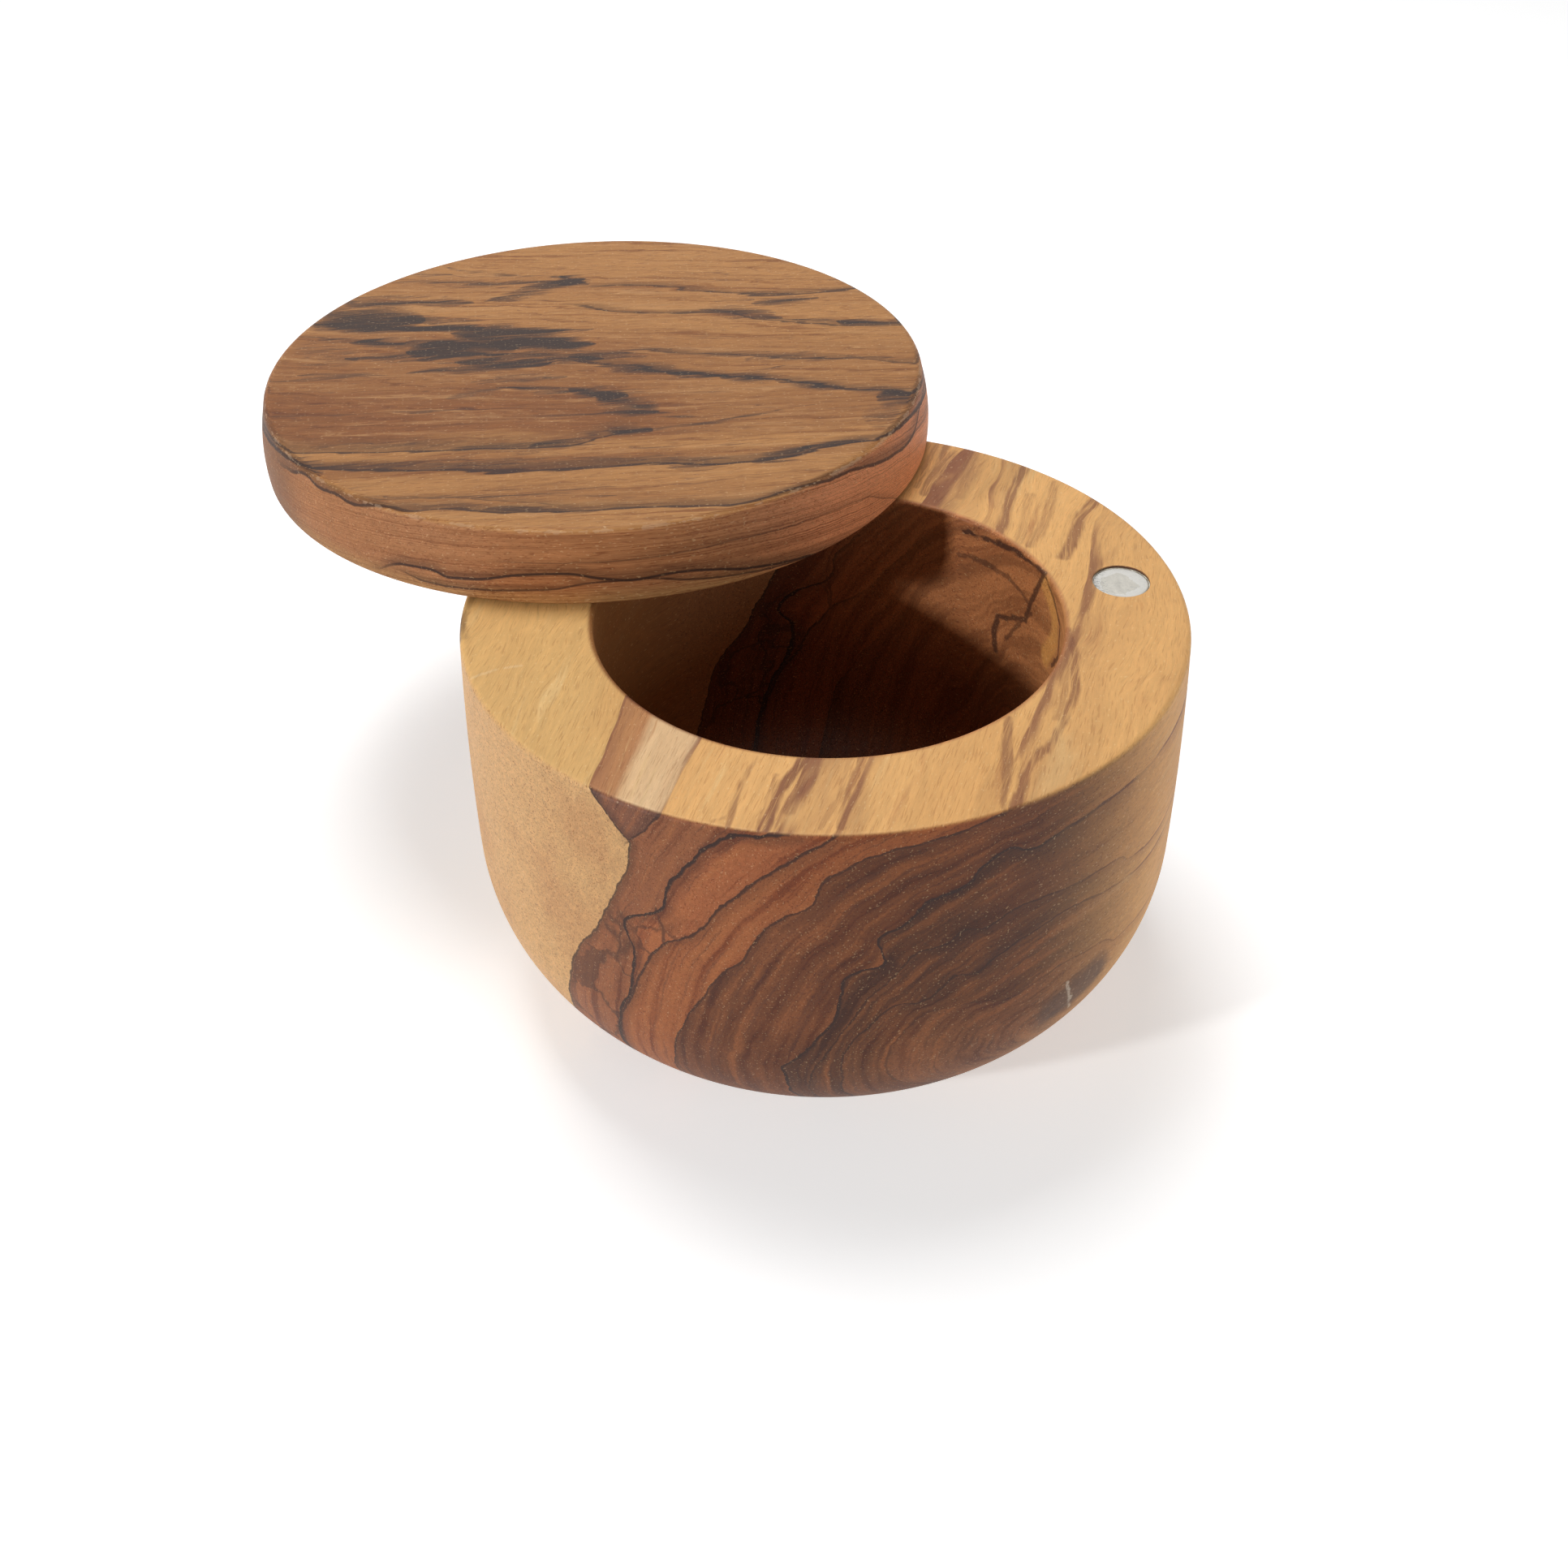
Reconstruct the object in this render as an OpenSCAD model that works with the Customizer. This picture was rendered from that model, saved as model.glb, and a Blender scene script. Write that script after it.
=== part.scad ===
// Turned wooden salt keeper. A round bowl with a wide flat rim is closed by a disc lid that lies flat on the rim.
// The lid swivels on an upright pin in the rim, and a pair of small magnets holds it closed.
// Units are millimetres. The origin is the centre of the base on the ground, with +Z up.
// +X is to the right and +Y away from someone who faces the keeper. Bearings are seen from above, from +X to +Y.
// The lid is drawn swung open by open_angle from the place where it covers the bowl.

/* [Bowl] */
// Radius of the bowl just under the rim's softened edge
rim_r = 52; // [46:0.5:60]
// How far the belly stands outside the rim
belly_swell = 1.2; // [0.4:0.1:5]
// Height of the widest line of the belly above the ground
belly_z = 27.4; // [20:0.2:32]
// Radius of the flat base
base_r = 36; // [30:0.5:42]
// Height of the bowl, from the ground to the rim's flat top
bowl_h = 62; // [54:0.5:80]
// Radius of the softened outer edge of the rim
rim_edge_r = 0.8; // [0.3:0.1:2]

/* [Salt well] */
// Radius of the well
well_r = 33.5; // [26:0.5:35]
// Where the well's axis stands from the bowl's axis, to the right
well_x = 0.6; // [-2:0.1:2]
// Where the well's axis stands from the bowl's axis, away from the front
well_y = -2.7; // [-3:0.1:3]
// Thickness of the wood under the well
well_floor = 11; // [6:0.5:20]
// Radius of the hollow between the well's wall and its floor
well_cove_r = 12; // [3:0.5:20]
// Radius of the softened edge at the mouth of the well
well_edge_r = 0.6; // [0.2:0.1:1.5]

/* [Lid] */
// Thickness of the lid
lid_t = 11.5; // [9.5:0.5:18]
// How far the lid's widest line stands outside the rim when the lid is closed
lid_overhang = 2.7; // [0:0.1:5]
// How far the lid's side draws in from its widest line to its top
lid_taper = 1.2; // [0.3:0.1:3]
// Height of the lid's widest line above its underside
lid_widest_z = 2.5; // [1:0.1:4]
// Radius of the softened edge of the lid's top
lid_top_edge_r = 1.4; // [0.4:0.1:2.5]
// Radius of the softened edge of the lid's underside
lid_under_edge_r = 0.5; // [0.2:0.1:0.9]

/* [Pivot] */
// How far outside the middle of the rim's width the pin and the magnets stand
pitch_out = 0.95; // [0:0.05:1.5]
// Bearing of the pin
pivot_bearing = 167.6; // [150:0.1:200]
// Radius of the pin
pin_r = 2.5; // [1.5:0.1:3]
// Length of the pin held in the lid
pin_in_lid = 7.5; // [4:0.5:8]
// Bevel at the pin's ends
pin_bevel = 0.5; // [0.2:0.1:0.8]
// Running clearance between the pin and its bush
pin_running_gap = 0.04; // [0.02:0.01:0.08]
// Free depth between the pin's lower end and the bottom of its bush
pin_end_gap = 1; // [0.5:0.1:3]
// Wall of the bush
bush_wall = 1.5; // [0.8:0.1:1.5]
// Length of the bush
bush_l = 18; // [10:0.5:24]
// Radius of the spacer washer
washer_r = 6; // [5:0.1:7]
// Thickness of the spacer washer
washer_t = 0.3; // [0.2:0.05:0.8]
// Clearance round the pin in the washer
washer_pin_gap = 0.15; // [0.05:0.05:0.4]
// Clearance between the washer and the lid
washer_lid_gap = 0.05; // [0.02:0.01:0.2]

/* [Magnets] */
// Bearing of the magnet in the rim
magnet_bearing = 7.4; // [-20:0.1:60]
// Radius of each magnet
magnet_r = 4; // [2.5:0.5:4]
// Thickness of each magnet
magnet_t = 3; // [1.5:0.5:5]
// Depth of each magnet's face under the wood
magnet_recess = 0.3; // [0.1:0.05:1]
// Thickness of the glue under and round each magnet
glue_t = 0.15; // [0.1:0.05:0.2]

/* [Lid position] */
// How far the lid is swung open, anticlockwise seen from above
open_angle = 95.7; // [0:0.1:360]

/* [Hidden] */
$fn = 96;
// Straight steps that each arc of an outline is drawn with
belly_steps = 18;
flank_steps = 8;
cove_steps = 10;
edge_steps = 5;
// How far a cut runs past the face that it opens
cut_over = 1;
belly_r = rim_r + belly_swell;
belly_arc_r = arc_radius(belly_r - base_r, belly_z);
flank_rise = bowl_h - rim_edge_r - belly_z;
flank_arc_r = arc_radius(belly_swell, flank_rise);
lid_z = bowl_h + washer_t + washer_lid_gap;
lid_r = rim_r + lid_overhang;
lid_side_rise = lid_t - lid_top_edge_r - lid_widest_z;
lid_arc_r = arc_radius(lid_taper, lid_side_rise);
// Distance of the pin and the magnets from the bowl's axis
pitch_r = (rim_r + well_r) / 2 + pitch_out;
pivot_at = [pitch_r * cos(pivot_bearing), pitch_r * sin(pivot_bearing)];
magnet_at = [pitch_r * cos(magnet_bearing), pitch_r * sin(magnet_bearing)];
pin_l = pin_in_lid + lid_z - bowl_h + bush_l - pin_end_gap;
bush_bore_r = pin_r + pin_running_gap;
bush_r = bush_bore_r + bush_wall;
magnet_bore_r = magnet_r + glue_t;
magnet_bore_depth = magnet_recess + magnet_t + glue_t;

// Radius of an arc that starts upright and draws in by run over a height of rise
function arc_radius(run, rise) = (run * run + rise * rise) / (2 * run);

// Points along an arc about [x, z], from one angle to another
function arc(x, z, r, from, to, steps) = [
    for (i = [0:steps])
        let (a = from + (to - from) * i / steps)
        [x + r * cos(a), z + r * sin(a)]
];

// Radius of the lid's side at a height above its underside
function lid_side(z) = lid_r - lid_arc_r + sqrt(pow(lid_arc_r, 2) - pow(z - lid_widest_z, 2));

module lid_wood() {
    color([0.66, 0.44, 0.28]) children();
}

module bowl_wood() {
    color([0.76, 0.55, 0.34]) children();
}

// The bowl's outside: belly arc, nearly upright flank and softened rim edge
module bowl_outside() {
    belly_from = -asin(belly_z / belly_arc_r);
    flank_to = asin(flank_rise / flank_arc_r);
    rotate_extrude()
        polygon(concat(
            [[0, 0]],
            arc(belly_r - belly_arc_r, belly_z, belly_arc_r, belly_from, 0, belly_steps),
            arc(belly_r - flank_arc_r, belly_z, flank_arc_r, flank_to / flank_steps, flank_to, flank_steps - 1),
            arc(rim_r - rim_edge_r, bowl_h - rim_edge_r, rim_edge_r, 90 / edge_steps, 90, edge_steps - 1),
            [[0, bowl_h]]
        ));
}

// The well's hollow: coved floor, upright wall and softened mouth
module well_hollow() {
    translate([well_x, well_y, 0])
        rotate_extrude()
            polygon(concat(
                [[0, well_floor]],
                arc(well_r - well_cove_r, well_floor + well_cove_r, well_cove_r, -90, 0, cove_steps),
                arc(well_r + well_edge_r, bowl_h - well_edge_r, well_edge_r, 180, 90, edge_steps),
                [[well_r + well_edge_r, bowl_h + cut_over], [0, bowl_h + cut_over]]
            ));
}

module bowl() {
    bowl_wood()
        difference() {
            bowl_outside();
            well_hollow();
            translate([pivot_at.x, pivot_at.y, bowl_h - bush_l])
                cylinder(r = bush_r, h = bush_l + cut_over);
            translate([magnet_at.x, magnet_at.y, bowl_h - magnet_bore_depth])
                cylinder(r = magnet_bore_r, h = magnet_bore_depth + cut_over);
        }
}

// Carries a piece of the closed lid round the pin to where the lid stands open
module swing_open() {
    translate([pivot_at.x, pivot_at.y, 0])
        rotate([0, 0, open_angle])
            translate([-pivot_at.x, -pivot_at.y, 0])
                children();
}

// The lid's disc: softened lower edge, slightly bowed side and softened top edge
module lid_disc() {
    low_r = lid_side(lid_under_edge_r);
    high_z = lid_t - lid_top_edge_r;
    side_step = (high_z - lid_under_edge_r) / flank_steps;
    rotate_extrude()
        polygon(concat(
            [[0, 0]],
            arc(low_r - lid_under_edge_r, lid_under_edge_r, lid_under_edge_r, -90, 0, edge_steps),
            [for (i = [1:flank_steps]) let (z = lid_under_edge_r + side_step * i) [lid_side(z), z]],
            arc(lid_side(high_z) - lid_top_edge_r, high_z, lid_top_edge_r, 90 / edge_steps, 90, edge_steps - 1),
            [[0, lid_t]]
        ));
}

module lid() {
    lid_wood()
        swing_open()
            difference() {
                translate([0, 0, lid_z])
                    lid_disc();
                translate([pivot_at.x, pivot_at.y, lid_z - cut_over])
                    cylinder(r = pin_r, h = pin_in_lid + cut_over);
                translate([magnet_at.x, magnet_at.y, lid_z - cut_over])
                    cylinder(r = magnet_bore_r, h = magnet_bore_depth + cut_over);
            }
}

// The dowel: fixed in the lid, with its lower end free to turn in the bush
module pivot_pin() {
    color([0.75, 0.76, 0.78])
        swing_open()
            translate([pivot_at.x, pivot_at.y, lid_z + pin_in_lid - pin_l]) {
                cylinder(r1 = pin_r - pin_bevel, r2 = pin_r, h = pin_bevel);
                translate([0, 0, pin_bevel])
                    cylinder(r = pin_r, h = pin_l - 2 * pin_bevel);
                translate([0, 0, pin_l - pin_bevel])
                    cylinder(r1 = pin_r, r2 = pin_r - pin_bevel, h = pin_bevel);
            }
}

module pivot_bush() {
    color([0.80, 0.64, 0.30])
        translate([pivot_at.x, pivot_at.y, bowl_h - bush_l])
            difference() {
                cylinder(r = bush_r, h = bush_l);
                translate([0, 0, -cut_over])
                    cylinder(r = bush_bore_r, h = bush_l + 2 * cut_over);
            }
}

module pivot_washer() {
    color([0.93, 0.92, 0.88])
        translate([pivot_at.x, pivot_at.y, bowl_h])
            difference() {
                cylinder(r = washer_r, h = washer_t);
                translate([0, 0, -cut_over])
                    cylinder(r = pin_r + washer_pin_gap, h = washer_t + 2 * cut_over);
            }
}

module magnet_disc() {
    color([0.72, 0.73, 0.74])
        cylinder(r = magnet_r, h = magnet_t);
}

// The glue: a bed under the magnet and a thin ring round it
module glue_cup() {
    color([0.86, 0.87, 0.84])
        difference() {
            cylinder(r = magnet_bore_r, h = glue_t + magnet_t);
            translate([0, 0, glue_t])
                cylinder(r = magnet_r, h = magnet_t + cut_over);
        }
}

// Places a magnet or its glue in the rim, with the bed at the bottom of the bore
module in_rim() {
    translate([magnet_at.x, magnet_at.y, bowl_h - magnet_bore_depth])
        children();
}

// Places a magnet or its glue in the lid's underside, with the bed at the top of the bore
module in_lid() {
    swing_open()
        translate([magnet_at.x, magnet_at.y, lid_z + magnet_bore_depth])
            mirror([0, 0, 1])
                children();
}

module rim_magnet() {
    in_rim()
        translate([0, 0, glue_t])
            magnet_disc();
}

module rim_magnet_glue() {
    in_rim()
        glue_cup();
}

module lid_magnet() {
    in_lid()
        translate([0, 0, glue_t])
            magnet_disc();
}

module lid_magnet_glue() {
    in_lid()
        glue_cup();
}

bowl();
lid();
pivot_pin();
pivot_bush();
pivot_washer();
rim_magnet();
rim_magnet_glue();
lid_magnet();
lid_magnet_glue();
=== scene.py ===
# %% [markdown]
# # A turned salt keeper in olive wood
#
# The keeper is a round bowl with a wide flat rim, and a disc lid that swivels flat on an upright pin.
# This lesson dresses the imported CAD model: it rebuilds the two turned pieces with finer edges,
# adds the magnets and their glue, and spends most of its length on one thing, a convincing olive wood.

# %% Load the fixed frame
import math

import bpy
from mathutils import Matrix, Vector


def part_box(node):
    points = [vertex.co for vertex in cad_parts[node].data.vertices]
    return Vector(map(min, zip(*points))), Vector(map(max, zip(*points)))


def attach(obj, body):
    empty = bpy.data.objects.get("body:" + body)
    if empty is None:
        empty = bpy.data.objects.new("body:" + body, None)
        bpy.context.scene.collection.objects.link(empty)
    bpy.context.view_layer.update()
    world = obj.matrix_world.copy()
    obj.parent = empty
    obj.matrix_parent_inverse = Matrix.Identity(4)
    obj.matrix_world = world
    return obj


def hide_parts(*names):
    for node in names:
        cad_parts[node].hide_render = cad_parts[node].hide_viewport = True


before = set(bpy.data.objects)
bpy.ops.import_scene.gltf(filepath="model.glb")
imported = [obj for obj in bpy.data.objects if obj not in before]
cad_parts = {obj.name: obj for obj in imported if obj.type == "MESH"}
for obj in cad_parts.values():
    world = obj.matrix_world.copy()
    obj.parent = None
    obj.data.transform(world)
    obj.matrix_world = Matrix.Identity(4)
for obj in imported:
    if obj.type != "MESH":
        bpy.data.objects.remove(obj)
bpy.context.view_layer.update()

# %% [markdown]
# ## Units and sizes
#
# Blender works in metres, but a turner thinks in millimetres, so lengths are written in millimetres
# and multiplied by MM where Blender needs them. Where a size can be read from a CAD node's box it is,
# so that the dressed pieces always fit the frame.

# %% Sizes from the CAD nodes
MM = 0.001


def node_box(name):
    """Lowest and highest corner of a CAD node, in millimetres."""
    low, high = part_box(name)
    return low / MM, high / MM


def axis_of(node):
    """Where a round node's upright axis stands, in millimetres."""
    low, high = node_box(node)
    return (low.x + high.x) / 2, (low.y + high.y) / 2


def radius_of(node):
    """The largest radius of a round node, in millimetres."""
    low, high = node_box(node)
    return (high.x - low.x) / 2


BOWL_H = node_box("bowl")[1].z
BELLY_R = radius_of("bowl")
LID_AXIS = axis_of("lid")
LID_R = radius_of("lid")
print("bowl", round(BELLY_R, 2), BOWL_H)
print("lid axis", [round(v, 2) for v in LID_AXIS], "radius", round(LID_R, 2))

# %% [markdown]
# ## The camera
#
# The photograph looks down at about 39 degrees from the front, some 25 cm from the middle of the rim.
# The camera is placed by its own three axes: where it looks, what is right, and what is up.

# %% Camera
CAMERA_PLACE = (0.0, -0.20778, 0.19643)
SENSOR_WIDTH, LENS, NEAREST = 36.0, 39.26, 0.005
YAW, PITCH, ROLL = -0.0292, 0.6808, -0.0121
camera_data = bpy.data.cameras.new("camera")
camera_data.sensor_width = SENSOR_WIDTH
camera_data.lens = LENS
camera_data.clip_start = NEAREST
camera = bpy.data.objects.new("camera", camera_data)
bpy.context.scene.collection.objects.link(camera)
look = Vector((math.sin(YAW) * math.cos(PITCH), math.cos(YAW) * math.cos(PITCH), -math.sin(PITCH)))
right = Vector((math.cos(YAW), -math.sin(YAW), 0.0))
up = right.cross(look)
across = math.cos(ROLL) * right + math.sin(ROLL) * up
upward = -math.sin(ROLL) * right + math.cos(ROLL) * up
turn = camera.matrix_world.copy()
for row in range(3):
    turn[row][0] = across[row]
    turn[row][1] = upward[row]
    turn[row][2] = -look[row]
    turn[row][3] = CAMERA_PLACE[row]
camera.matrix_world = turn
bpy.context.scene.camera = camera
print("camera looks along", [round(v, 3) for v in look])

# %% [markdown]
# ## The table and the light
#
# The keeper stands on white in soft studio light. The floor is pale and keeps the keeper's shadow;
# for camera rays it also gives off a little light of its own, so that the open floor reads as white.
# It ends where the lamps get too weak, since it would look grey there against the white room. A small low
# lamp at the front left is the key, a broader one hangs above and a little behind, a weak one fills in
# from the right, and the world adds a little from everywhere.

# %% Floor and world
FLOOR_SIZE = 1.8
FLOOR_GLOW = 0.46
FLOOR_TONE = (0.86, 0.86, 0.86, 1.0)
WHITE = (1.0, 1.0, 1.0, 1.0)
FILL = 0.14


def deselect():
    bpy.ops.object.select_all(action="DESELECT")


deselect()
bpy.ops.mesh.primitive_plane_add(size=FLOOR_SIZE, location=(0.0, 0.0, 0.0))
floor = bpy.context.object
floor.name = "floor"


def join(tree, value, socket):
    """Links a node's output to a socket, or writes a plain value on it."""
    if isinstance(value, bpy.types.NodeSocket):
        tree.links.new(value, socket)
    else:
        socket.default_value = value


def add(tree, kind, settings=None, **inputs):
    """Adds a node. Settings are its own properties, and inputs are named by socket with _ for a space."""
    made = tree.nodes.new("ShaderNode" + kind)
    for name, value in (settings or {}).items():
        setattr(made, name, value)
    for name, value in inputs.items():
        join(tree, value, made.inputs[name.replace("_", " ")])
    return made


def calc(tree, operation, *values, clamp=False):
    """One Math node; gives its output."""
    made = tree.nodes.new("ShaderNodeMath")
    made.operation = operation
    made.use_clamp = clamp
    for value, socket in zip(values, made.inputs):
        join(tree, value, socket)
    return made.outputs[0]


def times(tree, first, second, clamp=False):
    return calc(tree, "MULTIPLY", first, second, clamp=clamp)


def plus(tree, first, second):
    return calc(tree, "ADD", first, second)


def minus(tree, first, second, clamp=False):
    return calc(tree, "SUBTRACT", first, second, clamp=clamp)


def new_material(name):
    """A material with a Principled BSDF; gives the material, its tree and that shader."""
    made = bpy.data.materials.new(name)
    made.use_nodes = True
    return made, made.node_tree, made.node_tree.nodes["Principled BSDF"]


def seen_share(tree):
    """1 for rays from the camera, a reflection or a refraction, and 0 for the rays that light things."""
    path = add(tree, "LightPath")
    either = calc(tree, "MAXIMUM", path.outputs["Is Camera Ray"], path.outputs["Is Glossy Ray"])
    return calc(tree, "MAXIMUM", either, path.outputs["Is Transmission Ray"])


material, tree, shader = new_material("pale_table")
shader.inputs["Base Color"].default_value = FLOOR_TONE
shader.inputs["Roughness"].default_value = 0.9
shader.inputs["Specular IOR Level"].default_value = 0.0
shader.inputs["Emission Color"].default_value = WHITE
join(tree, times(tree, seen_share(tree), FLOOR_GLOW), shader.inputs["Emission Strength"])
floor.data.materials.append(material)

world = bpy.data.worlds.new("white_room")
bpy.context.scene.world = world
world.use_nodes = True
tree = world.node_tree
background = tree.nodes["Background"]
background.inputs["Color"].default_value = WHITE
lit = add(tree, "MapRange", Value=seen_share(tree), To_Min=FILL, To_Max=1.0)
join(tree, lit.outputs["Result"], background.inputs["Strength"])
print("floor and world are in")

# %% Lamps
LAMP_AIM = Vector((0.0, 0.02, 0.05))


def soft_lamp(name, azimuth, elevation, distance, size, watts):
    """A square lamp that faces the middle of the keeper. Azimuth runs from +X to +Y, in degrees."""
    data = bpy.data.lights.new(name, "AREA")
    data.energy = watts
    data.size = size
    made = bpy.data.objects.new(name, data)
    bpy.context.scene.collection.objects.link(made)
    a, e = math.radians(azimuth), math.radians(elevation)
    away = Vector((math.cos(a) * math.cos(e), math.sin(a) * math.cos(e), math.sin(e)))
    made.location = LAMP_AIM + away * distance
    made.rotation_euler = away.to_track_quat("Z", "Y").to_euler()


soft_lamp("key_front_left", 213, 17, 1.5, 0.1, 11.0)
soft_lamp("top_back", 118, 72, 1.0, 0.4, 6.2)
soft_lamp("fill_right", 330, 12, 1.2, 0.5, 3.5)
bpy.context.scene.view_settings.view_transform = "Standard"

# %% [markdown]
# ## Turning a piece
#
# A turned piece is an outline spun round an axis, as on a lathe. The outline starts as a single point,
# which a plane merged at its centre gives, and grows point by point by extruding. One spin makes the
# surface, and merging the doubled seam closes it.

# %% A lathe
STEPS = 240
SMALL_STEPS = 96
MERGE_WITHIN = 0.000002


def pick(piece):
    """Selects one piece alone and makes it the active one."""
    deselect()
    piece.select_set(True)
    bpy.context.view_layer.objects.active = piece


def edit(piece):
    """Goes into edit mode on one piece only, with all of it selected."""
    pick(piece)
    bpy.ops.object.mode_set(mode="EDIT")
    bpy.ops.mesh.select_all(action="SELECT")


def leave_edit():
    bpy.ops.object.mode_set(mode="OBJECT")


def turned(name, outline, axis, steps=STEPS):
    """Spins an outline of (radius, height) points round an upright axis. All in millimetres."""
    start_r, start_z = outline[0]
    deselect()
    start = ((axis[0] + start_r) * MM, axis[1] * MM, start_z * MM)
    bpy.ops.mesh.primitive_plane_add(size=MM, location=start)
    piece = bpy.context.object
    piece.name = name
    bpy.ops.object.transform_apply(location=True, rotation=True, scale=True)
    edit(piece)
    bpy.ops.mesh.merge(type="CENTER")
    for (r0, z0), (r1, z1) in zip(outline, outline[1:]):
        step = ((r1 - r0) * MM, 0.0, (z1 - z0) * MM)
        bpy.ops.mesh.extrude_region_move(TRANSFORM_OT_translate={"value": step})
    bpy.ops.mesh.select_all(action="SELECT")
    centre = (axis[0] * MM, axis[1] * MM, 0.0)
    bpy.ops.mesh.spin(steps=steps, angle=2 * math.pi, center=centre, axis=(0.0, 0.0, 1.0))
    bpy.ops.mesh.select_all(action="SELECT")
    bpy.ops.mesh.remove_doubles(threshold=MERGE_WITHIN)
    bpy.ops.mesh.normals_make_consistent(inside=False)
    leave_edit()
    return piece


def arc(x, z, r, start, stop, steps):
    """Points along an arc about (x, z), from one angle to another in degrees."""
    angles = [math.radians(start + (stop - start) * i / steps) for i in range(steps + 1)]
    return [(x + r * math.cos(a), z + r * math.sin(a)) for a in angles]


def arc_radius(run, rise):
    """Radius of an arc that starts upright and draws in by run over a height of rise."""
    return (run * run + rise * rise) / (2 * run)


def apply_all(piece):
    """Applies every modifier of a piece, from the top of the stack down."""
    pick(piece)
    for modifier in list(piece.modifiers):
        bpy.ops.object.modifier_apply(modifier=modifier.name)


def cut(piece, cutter):
    """Takes a cutter's shape out of a piece and throws the cutter away."""
    modifier = piece.modifiers.new("cut", "BOOLEAN")
    modifier.operation = "DIFFERENCE"
    modifier.solver = "EXACT"
    modifier.object = cutter
    apply_all(piece)
    bpy.data.objects.remove(cutter, do_unlink=True)


# %% [markdown]
# ## The bowl
#
# The maker turns the outside first, then moves the blank a little on the chuck and bores the well, so
# the well stands off the bowl's axis. Here both are spun on their own axes, and a bridge between their
# open edges makes the flat rim.

# %% Bowl: outside, well and rim
BELLY_Z = 27.4
BASE_R = 36.0
RIM_R = 52.0
RIM_EDGE = 0.8
WELL_AXIS = (0.6, -2.7)
WELL_R = 33.5
WELL_FLOOR = 11.0
COVE_R = 12.0
MOUTH_EDGE = 0.6
BASE_RINGS = (0.0, 12.0, 24.0, 32.0, 35.2)
FLOOR_RINGS = (0.0, 8.0, 16.0)
WALL_RINGS, WALL_STEP = 15, 2.4
BY_EDGE = 0.15
belly_arc = arc_radius(BELLY_R - BASE_R, BELLY_Z)
flank_rise = BOWL_H - RIM_EDGE - BELLY_Z
flank_arc = arc_radius(BELLY_R - RIM_R, flank_rise)
belly_from = -math.degrees(math.asin(BELLY_Z / belly_arc))
flank_to = math.degrees(math.asin(flank_rise / flank_arc))

outside_line = [(r, 0.0) for r in BASE_RINGS]
outside_line += arc(BELLY_R - belly_arc, BELLY_Z, belly_arc, belly_from, 0.0, 44)
outside_line += arc(BELLY_R - flank_arc, BELLY_Z, flank_arc, 0.0, flank_to, 26)[1:]
outside_line += arc(RIM_R - RIM_EDGE, BOWL_H - RIM_EDGE, RIM_EDGE, 0.0, 90.0, 8)[1:]
outside_line += [(RIM_R - RIM_EDGE - BY_EDGE, BOWL_H)]
well_line = [(r, WELL_FLOOR) for r in FLOOR_RINGS]
well_line += arc(WELL_R - COVE_R, WELL_FLOOR + COVE_R, COVE_R, -90.0, 0.0, 16)
well_line += [(WELL_R, WELL_FLOOR + COVE_R + WALL_STEP * i) for i in range(1, WALL_RINGS + 1)]
well_line += arc(WELL_R + MOUTH_EDGE, BOWL_H - MOUTH_EDGE, MOUTH_EDGE, 180.0, 90.0, 6)
well_line += [(WELL_R + MOUTH_EDGE + BY_EDGE, BOWL_H)]

bowl = turned("salt_bowl", outside_line, (0.0, 0.0))
well = turned("well", well_line, WELL_AXIS)
pick(bowl)
well.select_set(True)
bpy.ops.object.join()
edit(bowl)
bpy.ops.mesh.select_all(action="DESELECT")
bpy.ops.mesh.select_non_manifold(extend=False, use_wire=False, use_boundary=True, use_multi_face=False,
                                 use_non_contiguous=False, use_verts=False)
# seven rings across the rim keep its faces from getting long and thin
bpy.ops.mesh.bridge_edge_loops(number_cuts=7, interpolation="LINEAR", smoothness=0.0)
bpy.ops.mesh.select_all(action="SELECT")
bpy.ops.mesh.normals_make_consistent(inside=False)
leave_edit()
print("bowl", len(bowl.data.vertices), "vertices")

# %% [markdown]
# ## Bores in the bowl
#
# The magnet and the pin's bush sit in plain bores. Each cutter is turned too, with a hair of bevel at
# the mouth, because a drill never leaves a razor edge in wood.

# %% Bowl: bores
MAGNET_BEVEL, BUSH_BEVEL, PIN_BEVEL = 0.12, 0.02, 0.05
PAST_MOUTH = 1.0


def bore_at(node, mouth, deep, bevel):
    """A cutter on a CAD node's axis, from deep to mouth (heights), which runs on past the mouth."""
    r = radius_of(node)
    out = 1.0 if mouth > deep else -1.0
    past = mouth + out * PAST_MOUTH
    line = [(0.0, deep), (r, deep), (r, mouth - out * bevel)]
    line += [(r + bevel, mouth), (r + bevel, past), (0.0, past)]
    return turned("cutter", line, axis_of(node), steps=SMALL_STEPS)


cut(bowl, bore_at("rim_magnet_glue", BOWL_H, node_box("rim_magnet_glue")[0].z, MAGNET_BEVEL))
cut(bowl, bore_at("pivot_bush", BOWL_H, node_box("pivot_bush")[0].z, BUSH_BEVEL))
print("bowl bored", len(bowl.data.polygons), "faces")

# %% [markdown]
# ## The lid
#
# The lid is a disc with a slightly bowed side that draws in towards the top. It is spun where it stands
# open, on its own axis, and gets a blind bore for the pin and one for its magnet in the underside.

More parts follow.
